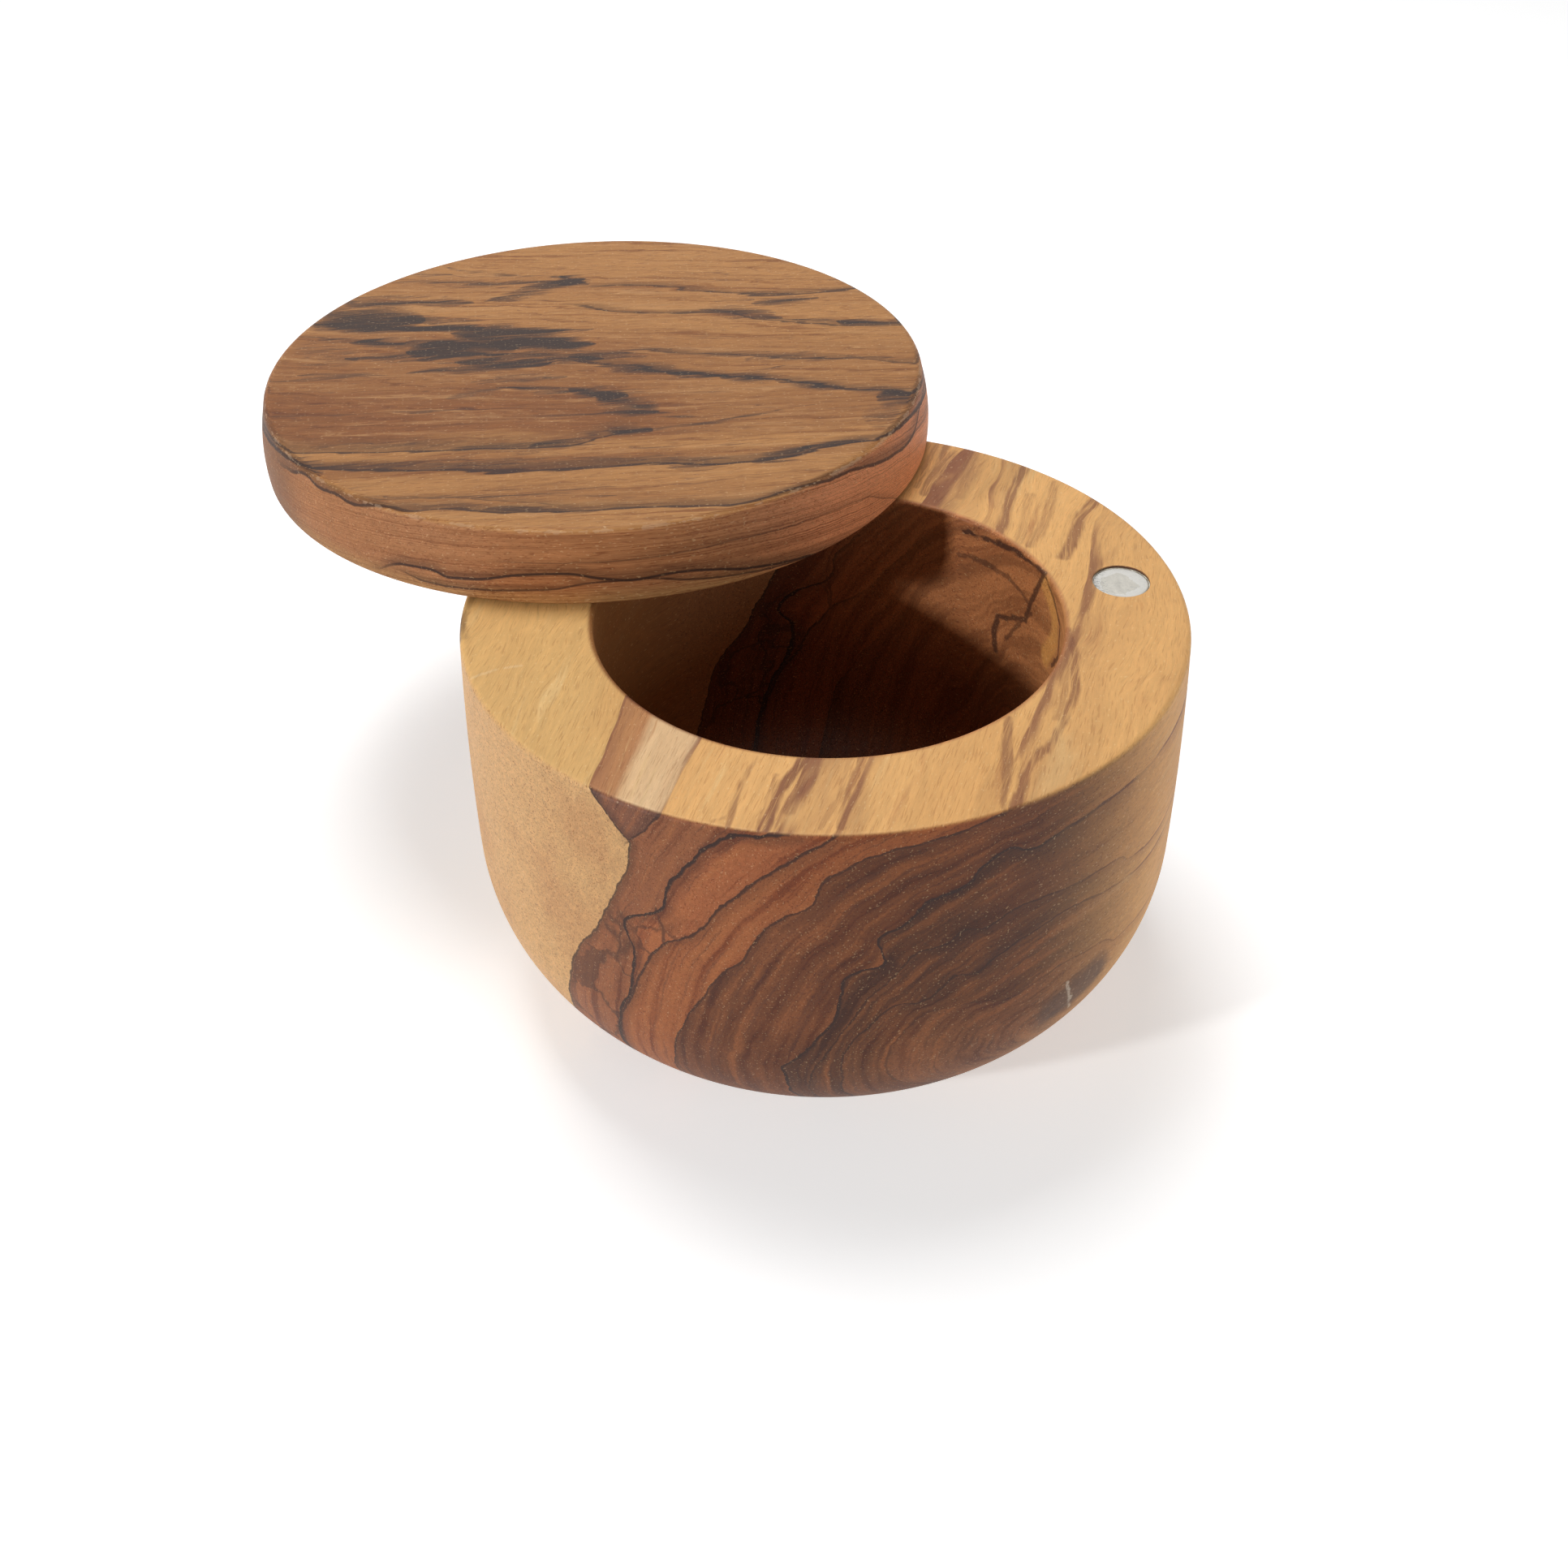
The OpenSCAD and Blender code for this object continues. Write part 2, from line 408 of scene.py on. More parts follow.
# %% Lid
LID_Z, LID_TOP = [corner.z for corner in node_box("lid")]
LID_TAPER = 1.2
LID_WIDEST = 2.5
TOP_EDGE = 1.4
UNDER_EDGE = 0.5
UNDER_RINGS = (12.0, 24.0, 36.0, 46.0, 51.0)
TOP_RINGS = (48.0, 36.0, 24.0, 12.0, 0.0)
SIDE_RINGS = 18
side_rise = LID_TOP - LID_Z - TOP_EDGE - LID_WIDEST
side_arc = arc_radius(LID_TAPER, side_rise)


def lid_side(z):
    """Radius of the lid's side at a height above its underside."""
    return LID_R - side_arc + math.sqrt(side_arc ** 2 - (z - LID_WIDEST) ** 2)


low_r = lid_side(UNDER_EDGE)
high_z = LID_TOP - LID_Z - TOP_EDGE
side_steps = [UNDER_EDGE + (high_z - UNDER_EDGE) * i / SIDE_RINGS for i in range(1, SIDE_RINGS + 1)]
lid_line = [(r, LID_Z) for r in (0.0,) + UNDER_RINGS + (low_r - UNDER_EDGE - BY_EDGE,)]
lid_line += arc(low_r - UNDER_EDGE, LID_Z + UNDER_EDGE, UNDER_EDGE, -90.0, 0.0, 6)
lid_line += [(lid_side(z), LID_Z + z) for z in side_steps]
lid_line += arc(lid_side(high_z) - TOP_EDGE, LID_Z + high_z, TOP_EDGE, 0.0, 90.0, 9)[1:]
lid_line += [(r, LID_TOP) for r in (lid_side(high_z) - TOP_EDGE - BY_EDGE,) + TOP_RINGS]
lid = turned("swivel_lid", lid_line, LID_AXIS)
cut(lid, bore_at("lid_magnet_glue", LID_Z, node_box("lid_magnet_glue")[1].z, MAGNET_BEVEL))
cut(lid, bore_at("pivot_pin", LID_Z, node_box("pivot_pin")[1].z, PIN_BEVEL))
print("lid", len(lid.data.vertices), "vertices")

# %% [markdown]
# ## Magnets and glue
#
# The magnets are stock discs with softly rounded edges, which plating always leaves. Each sits in a cup
# of glue: a bed behind the magnet and a thin ring round it that dried with a small hollow at its edge.
# Both are turned shapes. The cup in the lid is the one in the rim turned over.

# %% Magnets and glue
MAGNET_EDGE = 0.25
GLUE_EDGE = 0.1
GLUE_GAP = 0.005
SMALL_SMOOTH, WOOD_SMOOTH = 40.0, 35.0


def disc(name, node):
    """A magnet with rounded edges in the place of its CAD node."""
    low, high = node_box(node)
    r = radius_of(node)
    line = [(0.0, low.z), (r * 0.5, low.z)]
    line += arc(r - MAGNET_EDGE, low.z + MAGNET_EDGE, MAGNET_EDGE, -90.0, 0.0, 6)
    line += arc(r - MAGNET_EDGE, high.z - MAGNET_EDGE, MAGNET_EDGE, 0.0, 90.0, 6)
    line += [(r * 0.5, high.z), (0.0, high.z)]
    return turned(name, line, axis_of(node), steps=SMALL_STEPS)


def glue_cup(name, node, magnet_node, opens_up):
    """The cup of glue round a magnet, drawn as it opens upwards and mirrored when it opens down."""
    low, high = node_box(node)
    magnet_from, magnet_to = node_box(magnet_node)
    outer = radius_of(node)
    inner = radius_of(magnet_node)
    bed = (high.z - low.z) - (magnet_to.z - magnet_from.z)
    tall = high.z - low.z
    line = [(0.0, 0.0), (outer - GLUE_EDGE, 0.0), (outer, GLUE_EDGE)]
    # the dried ring is highest at the wood, hollow in its middle, and creeps a little up the magnet
    line += [(outer, tall - 0.02), (outer - 0.04, tall - 0.03), (inner + 0.05, tall - 0.1)]
    line += [(inner + GLUE_GAP, tall - 0.07), (inner + GLUE_GAP, bed - GLUE_GAP), (0.0, bed - GLUE_GAP)]
    line = [(r, low.z + z if opens_up else high.z - z) for r, z in line]
    return turned(name, line, axis_of(node), steps=SMALL_STEPS)


rim_disc = disc("rim_magnet_disc", "rim_magnet")
lid_disc = disc("lid_magnet_disc", "lid_magnet")
rim_cup = glue_cup("rim_magnet_glue_cup", "rim_magnet_glue", "rim_magnet", True)
lid_cup = glue_cup("lid_magnet_glue_cup", "lid_magnet_glue", "lid_magnet", False)
for piece, node, body_name, finish in ((rim_disc, "rim_magnet", "bowl", "magnet_plating"),
                                       (lid_disc, "lid_magnet", "lid", "magnet_plating"),
                                       (rim_cup, "rim_magnet_glue", "bowl", "cured_glue"),
                                       (lid_cup, "lid_magnet_glue", "lid", "cured_glue")):
    pick(piece)
    bpy.ops.object.shade_smooth_by_angle(angle=math.radians(SMALL_SMOOTH))
    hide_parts(node)
    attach(piece, body_name)
    print(piece.name, len(piece.data.vertices), "vertices")

# %% Smooth shading on the wood
for piece in (bowl, lid):
    pick(piece)
    bpy.ops.object.shade_smooth_by_angle(angle=math.radians(WOOD_SMOOTH))
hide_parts("bowl")
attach(bowl, "bowl")
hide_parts("lid")
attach(lid, "lid")

# %% [markdown]
# ## Olive wood, 1: what the wood does
#
# Both pieces are cut from solid wood, so their figure is solid too: it is worked out from the place
# inside the piece, and runs through from one face to the next. Three things make the look:
#
# - growth rings and dark veins, which are lines on the end grain and long streaks on the face grain;
# - fibres, short dashes along the grain, which show as dots where they are cut across;
# - end grain drinks more oil, so heartwood turns dark brown wherever a face cuts across the fibres.
#
# Effects that both woods use are node groups. They work in millimetres, in a frame whose Y axis is
# the grain, and hand back only masks, values and colours.

# %% Tools for node groups


def rgb(r, g, b):
    """A colour as a screen shows it, 0 to 255, made linear for the shader."""
    shares = [v / 255 for v in (r, g, b)]
    return tuple(v / 12.92 if v < 0.04 else ((v + 0.055) / 1.055) ** 2.4 for v in shares) + (1.0,)


def new_group(name, inputs, outputs):
    """A node group. inputs maps a label to its kind and starting value, outputs a label to its kind."""
    group = bpy.data.node_groups.new(name, "ShaderNodeTree")
    for label, (kind, value) in inputs.items():
        socket = group.interface.new_socket(label, in_out="INPUT", socket_type="NodeSocket" + kind)
        socket.default_value = value
    for label, kind in outputs.items():
        group.interface.new_socket(label, in_out="OUTPUT", socket_type="NodeSocket" + kind)
    return group, group.nodes.new("NodeGroupInput").outputs, group.nodes.new("NodeGroupOutput").inputs


def use(tree, group, **inputs):
    """Places a group in a tree and gives its outputs."""
    made = tree.nodes.new("ShaderNodeGroup")
    made.node_tree = group
    for name, value in inputs.items():
        join(tree, value, made.inputs[name.replace("_", " ")])
    return made.outputs


def vector_calc(tree, operation, first, second):
    made = add(tree, "VectorMath", {"operation": operation})
    join(tree, first, made.inputs[0])
    join(tree, second, made.inputs[1])
    return made.outputs["Value" if operation == "DOT_PRODUCT" else "Vector"]


def noise(tree, vector, detail=2.0, roughness=0.5, colour=False):
    """A noise one unit wide; its value runs from about 0.2 to 0.8."""
    made = add(tree, "TexNoise", Vector=vector, Scale=1.0, Detail=detail, Roughness=roughness)
    return made.outputs["Color" if colour else "Fac"]


def ease(tree, value, low, high, to_low=0.0, to_high=1.0):
    """A smooth step from to_low to to_high as value goes from low to high."""
    made = add(tree, "MapRange", {"interpolation_type": "SMOOTHSTEP"}, Value=value, From_Min=low,
               From_Max=high, To_Min=to_low, To_Max=to_high)
    return made.outputs["Result"]


def mix(tree, share, first, second, how="MIX"):
    """Mixes two colours."""
    made = tree.nodes.new("ShaderNodeMix")
    made.data_type = "RGBA"
    made.blend_type = how
    join(tree, share, made.inputs[0])
    join(tree, first, made.inputs[6])
    join(tree, second, made.inputs[7])
    return made.outputs[2]


def combine(tree, x, y, z):
    return add(tree, "CombineXYZ", X=x, Y=y, Z=z).outputs["Vector"]


def separate(tree, vector):
    made = add(tree, "SeparateXYZ", Vector=vector)
    return [made.outputs[axis] for axis in "XYZ"]


def drawn(tree, value, points, span, reach):
    """A curve drawn through (value, height) points, as a turner might pencil a line on the wood."""
    scaled = add(tree, "MapRange", Value=value, From_Min=span[0], From_Max=span[1])
    made = tree.nodes.new("ShaderNodeFloatCurve")
    curve = made.mapping.curves[0]
    spots = [((x - span[0]) / (span[1] - span[0]), (y - reach[0]) / (reach[1] - reach[0])) for x, y in points]
    curve.points[0].location = spots[0]
    curve.points[1].location = spots[-1]
    for spot in spots[1:-1]:
        curve.points.new(*spot)
    for point in curve.points:
        point.handle_type = "AUTO_CLAMPED"
    made.mapping.update()
    join(tree, scaled.outputs["Result"], made.inputs["Value"])
    lifted = add(tree, "MapRange", Value=made.outputs[0], To_Min=reach[0], To_Max=reach[1])
    return lifted.outputs["Result"]


# %% [markdown]
# ## Olive wood, 2: ragged edges
#
# No line in wood is drawn with a compass. This group shifts a place by two sizes of noise, which are
# stretched along the grain, so every line that is worked out afterwards wanders and frays.

# %% Group: ragged
WANDER_SIZES = (("Wide", 4.0), ("Fine", 0.9))
ALONG_GRAIN = 0.12
NOISE_GAIN = 4.0
group, given, result = new_group(
    "ragged",
    {"Place": ("Vector", (0, 0, 0)), "Wide": ("Float", 0.6), "Fine": ("Float", 0.25)},
    {"Place": "Vector"})
tree = group
place = given["Place"]
for amount, size in WANDER_SIZES:
    lookup = vector_calc(tree, "MULTIPLY", given["Place"], (1 / size, ALONG_GRAIN / size, 1 / size))
    shift = vector_calc(tree, "SUBTRACT", noise(tree, lookup, 1.0, colour=True), (0.5, 0.5, 0.5))
    reach = times(tree, given[amount], NOISE_GAIN)
    shift = vector_calc(tree, "MULTIPLY", shift, combine(tree, reach, 0.0, reach))
    place = vector_calc(tree, "ADD", place, shift)
join(tree, place, result["Place"])
ragged = group

# %% [markdown]
# ## Olive wood, 3: veins, streaks and marks
#
# Three small groups draw everything dark. A vein has a crisp side, a dark core and a soft tail on its
# inner side, worked out from a signed distance. A streak is a smoky patch between two points that tapers
# to both ends. A mark is a plain stroke between two points in space, for knots, a scratch and a crack.

# %% Groups: vein, streak and mark
group, given, result = new_group(
    "vein",
    {"Distance": ("Float", 0.0), "Crisp": ("Float", 0.15), "Core": ("Float", 0.5), "Tail": ("Float", 3.0),
     "Tail Strength": ("Float", 0.35), "Strength": ("Float", 1.0)},
    {"Mask": "Float"})
tree = group
distance = given["Distance"]
rise = ease(tree, distance, times(tree, given["Crisp"], -1.0), 0.0)
core = ease(tree, distance, times(tree, given["Core"], 0.3), given["Core"], 1.0, 0.0)
tail = ease(tree, distance, given["Core"], plus(tree, given["Core"], given["Tail"]), 1.0, 0.0)
tail = times(tree, tail, given["Tail Strength"])
mask = times(tree, rise, calc(tree, "MAXIMUM", core, tail))
join(tree, times(tree, mask, given["Strength"]), result["Mask"])
vein = group
NEXT_TO_NOTHING = 0.000000001


def from_segment(tree, given):
    """How far along a segment the nearest point lies, 0 to 1, and how far away it is."""
    # the renderer holds few values at once, so a patch is only begun when the one before it is done
    wait = times(tree, given["Before"], NEXT_TO_NOTHING)
    waited = vector_calc(tree, "ADD", given["Place"], combine(tree, wait, wait, wait))
    run = vector_calc(tree, "SUBTRACT", given["End"], given["Start"])
    reach = vector_calc(tree, "SUBTRACT", waited, given["Start"])
    share = calc(tree, "DIVIDE", vector_calc(tree, "DOT_PRODUCT", reach, run),
                 vector_calc(tree, "DOT_PRODUCT", run, run), clamp=True)
    foot = vector_calc(tree, "MULTIPLY", run, combine(tree, share, share, share))
    gap = vector_calc(tree, "SUBTRACT", reach, foot)
    away = add(tree, "VectorMath", {"operation": "LENGTH"}, Vector=gap)
    return share, away.outputs["Value"]


SEGMENT = {"Place": ("Vector", (0, 0, 0)), "Start": ("Vector", (0, 0, 0)), "End": ("Vector", (0, 0, 1)),
           "Width": ("Float", 0.5), "Strength": ("Float", 1.0), "Before": ("Float", 0.0)}
group, given, result = new_group("streak", SEGMENT, {"Sum": "Float"})
tree = group
share, away = from_segment(tree, given)
taper = times(tree, times(tree, share, minus(tree, 1.0, share)), 4.0)
taper = calc(tree, "POWER", taper, 0.8)
limit = plus(tree, times(tree, taper, given["Width"]), 0.05)
mask = minus(tree, 1.0, calc(tree, "DIVIDE", away, limit), clamp=True)
mask = times(tree, mask, given["Strength"])
join(tree, plus(tree, given["Before"], mask), result["Sum"])
streak_group = group

group, given, result = new_group("mark", SEGMENT, {"Mask": "Float"})
tree = group
share, away = from_segment(tree, given)
mask = ease(tree, away, times(tree, given["Width"], 0.4), given["Width"], 1.0, 0.0)
mask = times(tree, mask, given["Strength"])
join(tree, calc(tree, "MAXIMUM", given["Before"], mask), result["Mask"])
mark = group


def darkest(tree, masks):
    """The strongest of several masks at each place."""
    strongest = masks[0]
    for mask in masks[1:]:
        strongest = calc(tree, "MAXIMUM", strongest, mask)
    return strongest


def stroke(tree, place, points, width, strength, before=0.0):
    """A mark that runs through several points, laid over what is marked before it."""
    for first, second in zip(points, points[1:]):
        before = use(tree, mark, Place=place, Start=first, End=second, Width=width, Strength=strength,
                     Before=before)["Mask"]
    return before


# %% [markdown]
# ## Olive wood, 4: fibres
#
# Noise that is stretched along the grain gives dashes on the face and dots on the end in one go.
# Soft streaks, short fibres and fine pores are kept apart, and scarce pale flecks catch the light.

# %% Group: fibres
STREAK_PITCH, FIBRE_PITCH = (0.9, 0.035, 0.9), (2.2, 0.3, 2.2)
PORE_PITCH, FLECK_PITCH = (4.6, 0.35, 4.6), (4.0, 1.6, 4.0)
group, given, result = new_group(
    "fibres",
    {"Place": ("Vector", (0, 0, 0))},
    {"Streak": "Float", "Fibre": "Float", "Pore": "Float", "Fleck": "Float"})
tree = group
streak = noise(tree, vector_calc(tree, "MULTIPLY", given["Place"], STREAK_PITCH), 3.0)
fibre = noise(tree, vector_calc(tree, "MULTIPLY", given["Place"], FIBRE_PITCH), 3.0, 0.75)
pore = noise(tree, vector_calc(tree, "MULTIPLY", given["Place"], PORE_PITCH), 1.0, 0.6)
fleck = noise(tree, vector_calc(tree, "MULTIPLY", given["Place"], FLECK_PITCH), 0.0)
join(tree, streak, result["Streak"])
join(tree, fibre, result["Fibre"])
join(tree, ease(tree, pore, 0.44, 0.3), result["Pore"])
join(tree, ease(tree, fleck, 0.7, 0.8), result["Fleck"])
fibres = group

# %% [markdown]
# ## Olive wood, 5: end grain
#
# How squarely a face cuts the fibres is the dot product of its normal with the grain.

# %% Group: end_grain
group, given, result = new_group(
    "end_grain",
    {"Normal": ("Vector", (0, 0, 1)), "Grain": ("Vector", (0, 1, 0)),
     "Low": ("Float", 0.1), "High": ("Float", 0.6)},
    {"Share": "Float"})
tree = group
squarely = calc(tree, "ABSOLUTE", vector_calc(tree, "DOT_PRODUCT", given["Normal"], given["Grain"]))
join(tree, ease(tree, squarely, given["Low"], given["High"]), result["Share"])
end_grain = group

# %% [markdown]
# ## Olive wood, 6: the finish
#
# The last group takes a plain wood colour and lays the fibres over it. It also gives the roughness and
# the height that a bump node reads, because oiled wood still shows its pores.

# %% Group: oiled_wood
PORE_SHADE, FLECK_LIGHT = rgb(176, 140, 118), rgb(214, 176, 128)
group, given, result = new_group(
    "oiled_wood",
    {"Colour": ("Color", (0.5, 0.3, 0.15, 1)), "Streak": ("Float", 0.5), "Fibre": ("Float", 0.5),
     "Pore": ("Float", 0.0), "Fleck": ("Float", 0.0), "Streak Strength": ("Float", 0.5),
     "Fibre Strength": ("Float", 0.5), "Pore Strength": ("Float", 0.4)},
    {"Colour": "Color", "Roughness": "Float", "Height": "Float"})
tree = group
soft = times(tree, minus(tree, given["Streak"], 0.5), given["Streak Strength"])
sharp = times(tree, minus(tree, given["Fibre"], 0.5), given["Fibre Strength"])
value = plus(tree, 1.0, plus(tree, soft, sharp))
tone = add(tree, "HueSaturation", Saturation=1.0, Value=value, Color=given["Colour"]).outputs["Color"]
tone = mix(tree, times(tree, given["Pore"], given["Pore Strength"]), tone, PORE_SHADE, "MULTIPLY")
tone = mix(tree, times(tree, given["Fleck"], 0.3), tone, FLECK_LIGHT, "SCREEN")
join(tree, tone, result["Colour"])
rough = plus(tree, 0.46, times(tree, given["Fibre"], 0.2))
join(tree, minus(tree, rough, times(tree, given["Fleck"], 0.12)), result["Roughness"])
height = plus(tree, given["Fibre"], times(tree, given["Streak"], 0.5))
join(tree, minus(tree, height, times(tree, given["Pore"], 0.6)), result["Height"])
oiled_wood = group
print("groups", [g.name for g in bpy.data.node_groups])

# %% [markdown]
# ## Worn edges and a painted highlight
#
# Where hands touch an edge, the oil wears off and the wood goes pale. On the lid's rounded top edge the
# same pale line is partly a painted highlight. The group takes the distance to the edge and breaks the
# line up with noise.

# %% Group: edge_wear_and_highlight
group, given, result = new_group(
    "edge_wear_and_highlight",
    {"Place": ("Vector", (0, 0, 0)), "Distance": ("Float", 1.0), "Width": ("Float", 0.5),
     "Amount": ("Float", 0.5)},
    {"Mask": "Float"})
tree = group
broken = noise(tree, vector_calc(tree, "MULTIPLY", given["Place"], (0.3, 0.3, 0.3)), 3.0, 0.7)
limit = ease(tree, broken, 0.45, 0.65, 0.0, given["Width"])
mask = ease(tree, given["Distance"], times(tree, limit, 0.3), calc(tree, "MAXIMUM", limit, 0.01), 1.0, 0.0)
join(tree, times(tree, mask, given["Amount"]), result["Mask"])
edge_wear_and_highlight = group


def long_side(tree, first, second):
    """The long side of a right triangle."""
    return calc(tree, "SQRT", plus(tree, times(tree, first, first), times(tree, second, second)))


def axis_distance(tree, place, axis):
    """Distance in millimetres from an upright axis, and the height."""
    px, py, pz = separate(tree, vector_calc(tree, "SUBTRACT", place, (axis[0], axis[1], 0.0)))
    return long_side(tree, px, py), pz


def ring_distance(tree, place, axis, radius, height):
    """Distance in millimetres from a circle round an upright axis."""
    out, pz = axis_distance(tree, place, axis)
    out = minus(tree, out, radius)
    return long_side(tree, out, minus(tree, pz, height))


# %% [markdown]
# ## The bowl's wood: rings round a heart
#
# Seen from the front, the rings curve round a heart low on the right side of the blank. Each strong vein
# is a drawn curve of radius against the angle round that heart, so it can bulge and kink as a real
# one does. Between two veins, a coordinate that grows by the gap's real width carries the finer rings.

# %% Bowl wood: the drawn veins
HEART = (50.0, 18.0)
TURN_FROM, TURN_TO, FARTHEST = -60.0, 180.0, 100.0
VEINS = [
    ("sapwood", 8.0, [
        (-60, 82), (2, 79.3), (6, 78.4), (11, 77.1), (15, 74.6), (20, 73.1), (24, 72.5), (27, 72.1),
        (31, 73.4), (36, 74.5), (60, 76), (180, 76)]),
    ("first", 6.0, [
        (-60, 70), (1, 69.0), (7, 67.4), (12, 66.0), (17, 66.8), (20.5, 69.6), (22, 69.0), (24.6, 66.1),
        (27.5, 64.6), (30, 65.4), (34, 64.8), (38.6, 64.5), (43, 63.5), (45.4, 61.3), (50, 59),
        (180, 58)]),
    ("second", 7.0, [
        (-60, 69), (1, 68.6), (7, 66.8), (12, 65.2), (16.7, 64.1), (21.6, 62.1), (24.6, 59.5),
        (28, 58.0), (33, 57.5), (39, 56.9), (43, 56.3), (50, 55.5), (180, 54)]),
    ("third", 13.0, [
        (-60, 62), (0, 58), (13, 54.5), (18.4, 53), (23.7, 51.7), (27, 50.8), (31, 51.1), (38.7, 50.2),
        (42, 49.2), (48, 50.8), (56, 49.6), (64, 47.4), (75, 46), (180, 46)]),
    ("fourth", 5.0, [
        (-60, 46), (0, 40), (4.2, 40.4), (8, 38.6), (16, 36.3), (22.3, 35.6), (29.3, 36.8),
        (33.4, 37.9), (37, 37.1), (40.5, 35.6), (43, 37.2), (46, 39.2), (50, 38.7), (56, 39.3),
        (62.3, 38.4), (66, 39.8), (70, 40.3), (75, 38.1), (96, 38.1), (180, 38)]),
    ("fifth", 5.0, [
        (-60, 40), (0, 36.5), (20, 33.6), (35, 33.2), (46.6, 33.3), (53, 31.4), (56, 31.9),
        (60.6, 29.7), (66.5, 30), (71, 29.5), (79, 27.6), (88, 26.2), (94, 23.8), (103, 22.5),
        (180, 22)]),
    ("sixth", 10.0, [
        (-60, 33), (-7, 33), (3, 32), (11, 32.4), (22, 30.9), (31, 29.7), (34, 27.0), (41, 26.1),
        (46, 26.2), (50, 24.1), (57, 24.2), (69, 24.0), (74, 24.2), (81, 22.9), (88, 21.6), (97, 20.2),
        (180, 18)]),
    ("seventh", 12.0, [
        (-60, 12), (-20, 22), (10, 26.5), (31, 25), (39, 20.3), (46, 15.9), (53, 15.1), (62, 14.5),
        (71, 13.6), (86, 11.5), (94, 9.8), (120, 9.5), (180, 12)]),
]

LEAN_LEFT, LEAN_RIGHT = 0.17, 0.29


def in_mm(tree):
    """The object's own coordinates: the node that gives them, and the place in millimetres."""
    coordinates = add(tree, "TexCoord")
    return coordinates, vector_calc(tree, "MULTIPLY", coordinates.outputs["Object"], (1 / MM, 1 / MM, 1 / MM))


material, tree, shader = new_material("bowl_olive_wood")
spot, mm = in_mm(tree)
x, y, z = separate(tree, mm)
# the grain runs back through the blank, and leans more on the right than on the left
lean = ease(tree, x, -40.0, -12.0, LEAN_LEFT, LEAN_RIGHT)
a = minus(tree, x, times(tree, y, lean))
along = combine(tree, a, y, z)
# the lines are true to the front face, and wander more the farther they run back through the blank
drift = noise(tree, combine(tree, times(tree, a, 0.09), times(tree, y, 0.035), 3.0), 2.0)
drift = times(tree, minus(tree, drift, 0.5), ease(tree, y, -48.0, -10.0, 0.0, 9.0))
along = vector_calc(tree, "ADD", along, combine(tree, drift, 0.0, 0.0))
bent = use(tree, ragged, Place=along, Wide=0.3, Fine=0.13)["Place"]
a, y, z = separate(tree, bent)
da = minus(tree, HEART[0], a)
dz = minus(tree, z, HEART[1])
radius = long_side(tree, da, dz)
angle = calc(tree, "DEGREES", calc(tree, "ARCTAN2", dz, da))
inside = {}
levels = []
for name, _, points in VEINS:
    level = drawn(tree, angle, points, (TURN_FROM, TURN_TO), (0.0, FARTHEST))
    levels.append(level)
    inside[name] = minus(tree, level, radius)
ring = calc(tree, "MINIMUM", inside["sapwood"], 0.0)
for (_, width, _), outer, inner in zip(VEINS, levels, levels[1:]):
    gap = calc(tree, "MAXIMUM", minus(tree, outer, inner), 0.4)
    part = calc(tree, "DIVIDE", minus(tree, outer, radius), gap, clamp=True)
    ring = plus(tree, ring, times(tree, part, width))
ring = plus(tree, ring, calc(tree, "MAXIMUM", inside["seventh"], 0.0))
# near the rim the sapwood's edge turns up steeply, along a line of its own
EDGE_UP_Z, EDGE_UP_SLOPE, EDGE_UP_A = 56.4, -1.25, -13.5
edge_up = plus(tree, times(tree, minus(tree, z, EDGE_UP_Z), EDGE_UP_SLOPE), EDGE_UP_A)
inside["sapwood"] = calc(tree, "MAXIMUM", inside["sapwood"], times(tree, minus(tree, a, edge_up), 0.75))
print("veins drawn", [name for name, _, _ in VEINS])

# %% Bowl wood: colours between the veins
END_TONES = {
    "sapwood": rgb(144, 88, 56),
    "first": rgb(166, 97, 58),
    "second": rgb(160, 94, 54),
    "third": rgb(112, 65, 38),
    "fourth": rgb(94, 56, 34),
    "sixth": rgb(108, 66, 40),
    "seventh": rgb(132, 84, 54),
}
SAP_FACE, SAP_END = rgb(219, 173, 108), rgb(214, 168, 114)
HEART_FACE = rgb(230, 176, 110)
WEDGE_PALE, WEDGE_BROWN, WEDGE_END = rgb(228, 190, 144), rgb(178, 122, 78), rgb(124, 80, 60)
WEDGE_A, WEDGE_SLOPE = -7.0, 1.02
face, end = SAP_FACE, SAP_END
for name, tone in END_TONES.items():
    end = mix(tree, ease(tree, inside[name], -0.1, 0.5), end, tone)
heart = ease(tree, inside["sapwood"], -0.1, 0.25)
face = mix(tree, heart, face, HEART_FACE)
# a pale wedge runs across the rim at the front left, and goes brown towards its left side
above = ease(tree, z, 54.5, 57.0)
line_foot = plus(tree, WEDGE_A, times(tree, minus(tree, z, BOWL_H), WEDGE_SLOPE))
wedge_depth = times(tree, minus(tree, line_foot, a), 0.7)
wedge = times(tree, times(tree, heart, ease(tree, wedge_depth, -0.1, 0.15)), above)
wedge_face = mix(tree, ease(tree, wedge_depth, 5.0, 6.4), WEDGE_PALE, WEDGE_BROWN)
face = mix(tree, wedge, face, wedge_face)
end = mix(tree, wedge, end, WEDGE_END)

# %% Bowl wood: fine rings
RING_SHADE, RING_PALE, PENCIL = rgb(170, 134, 116), rgb(176, 108, 62), rgb(74, 46, 38)
WARM_END, GREY_VEIL = rgb(168, 102, 62), rgb(222, 212, 200)
FACE_STREAK, FACE_PALE, FACE_WARM = rgb(182, 124, 76), rgb(236, 200, 140), rgb(204, 148, 86)
SAPWOOD_RADIUS = 79.3
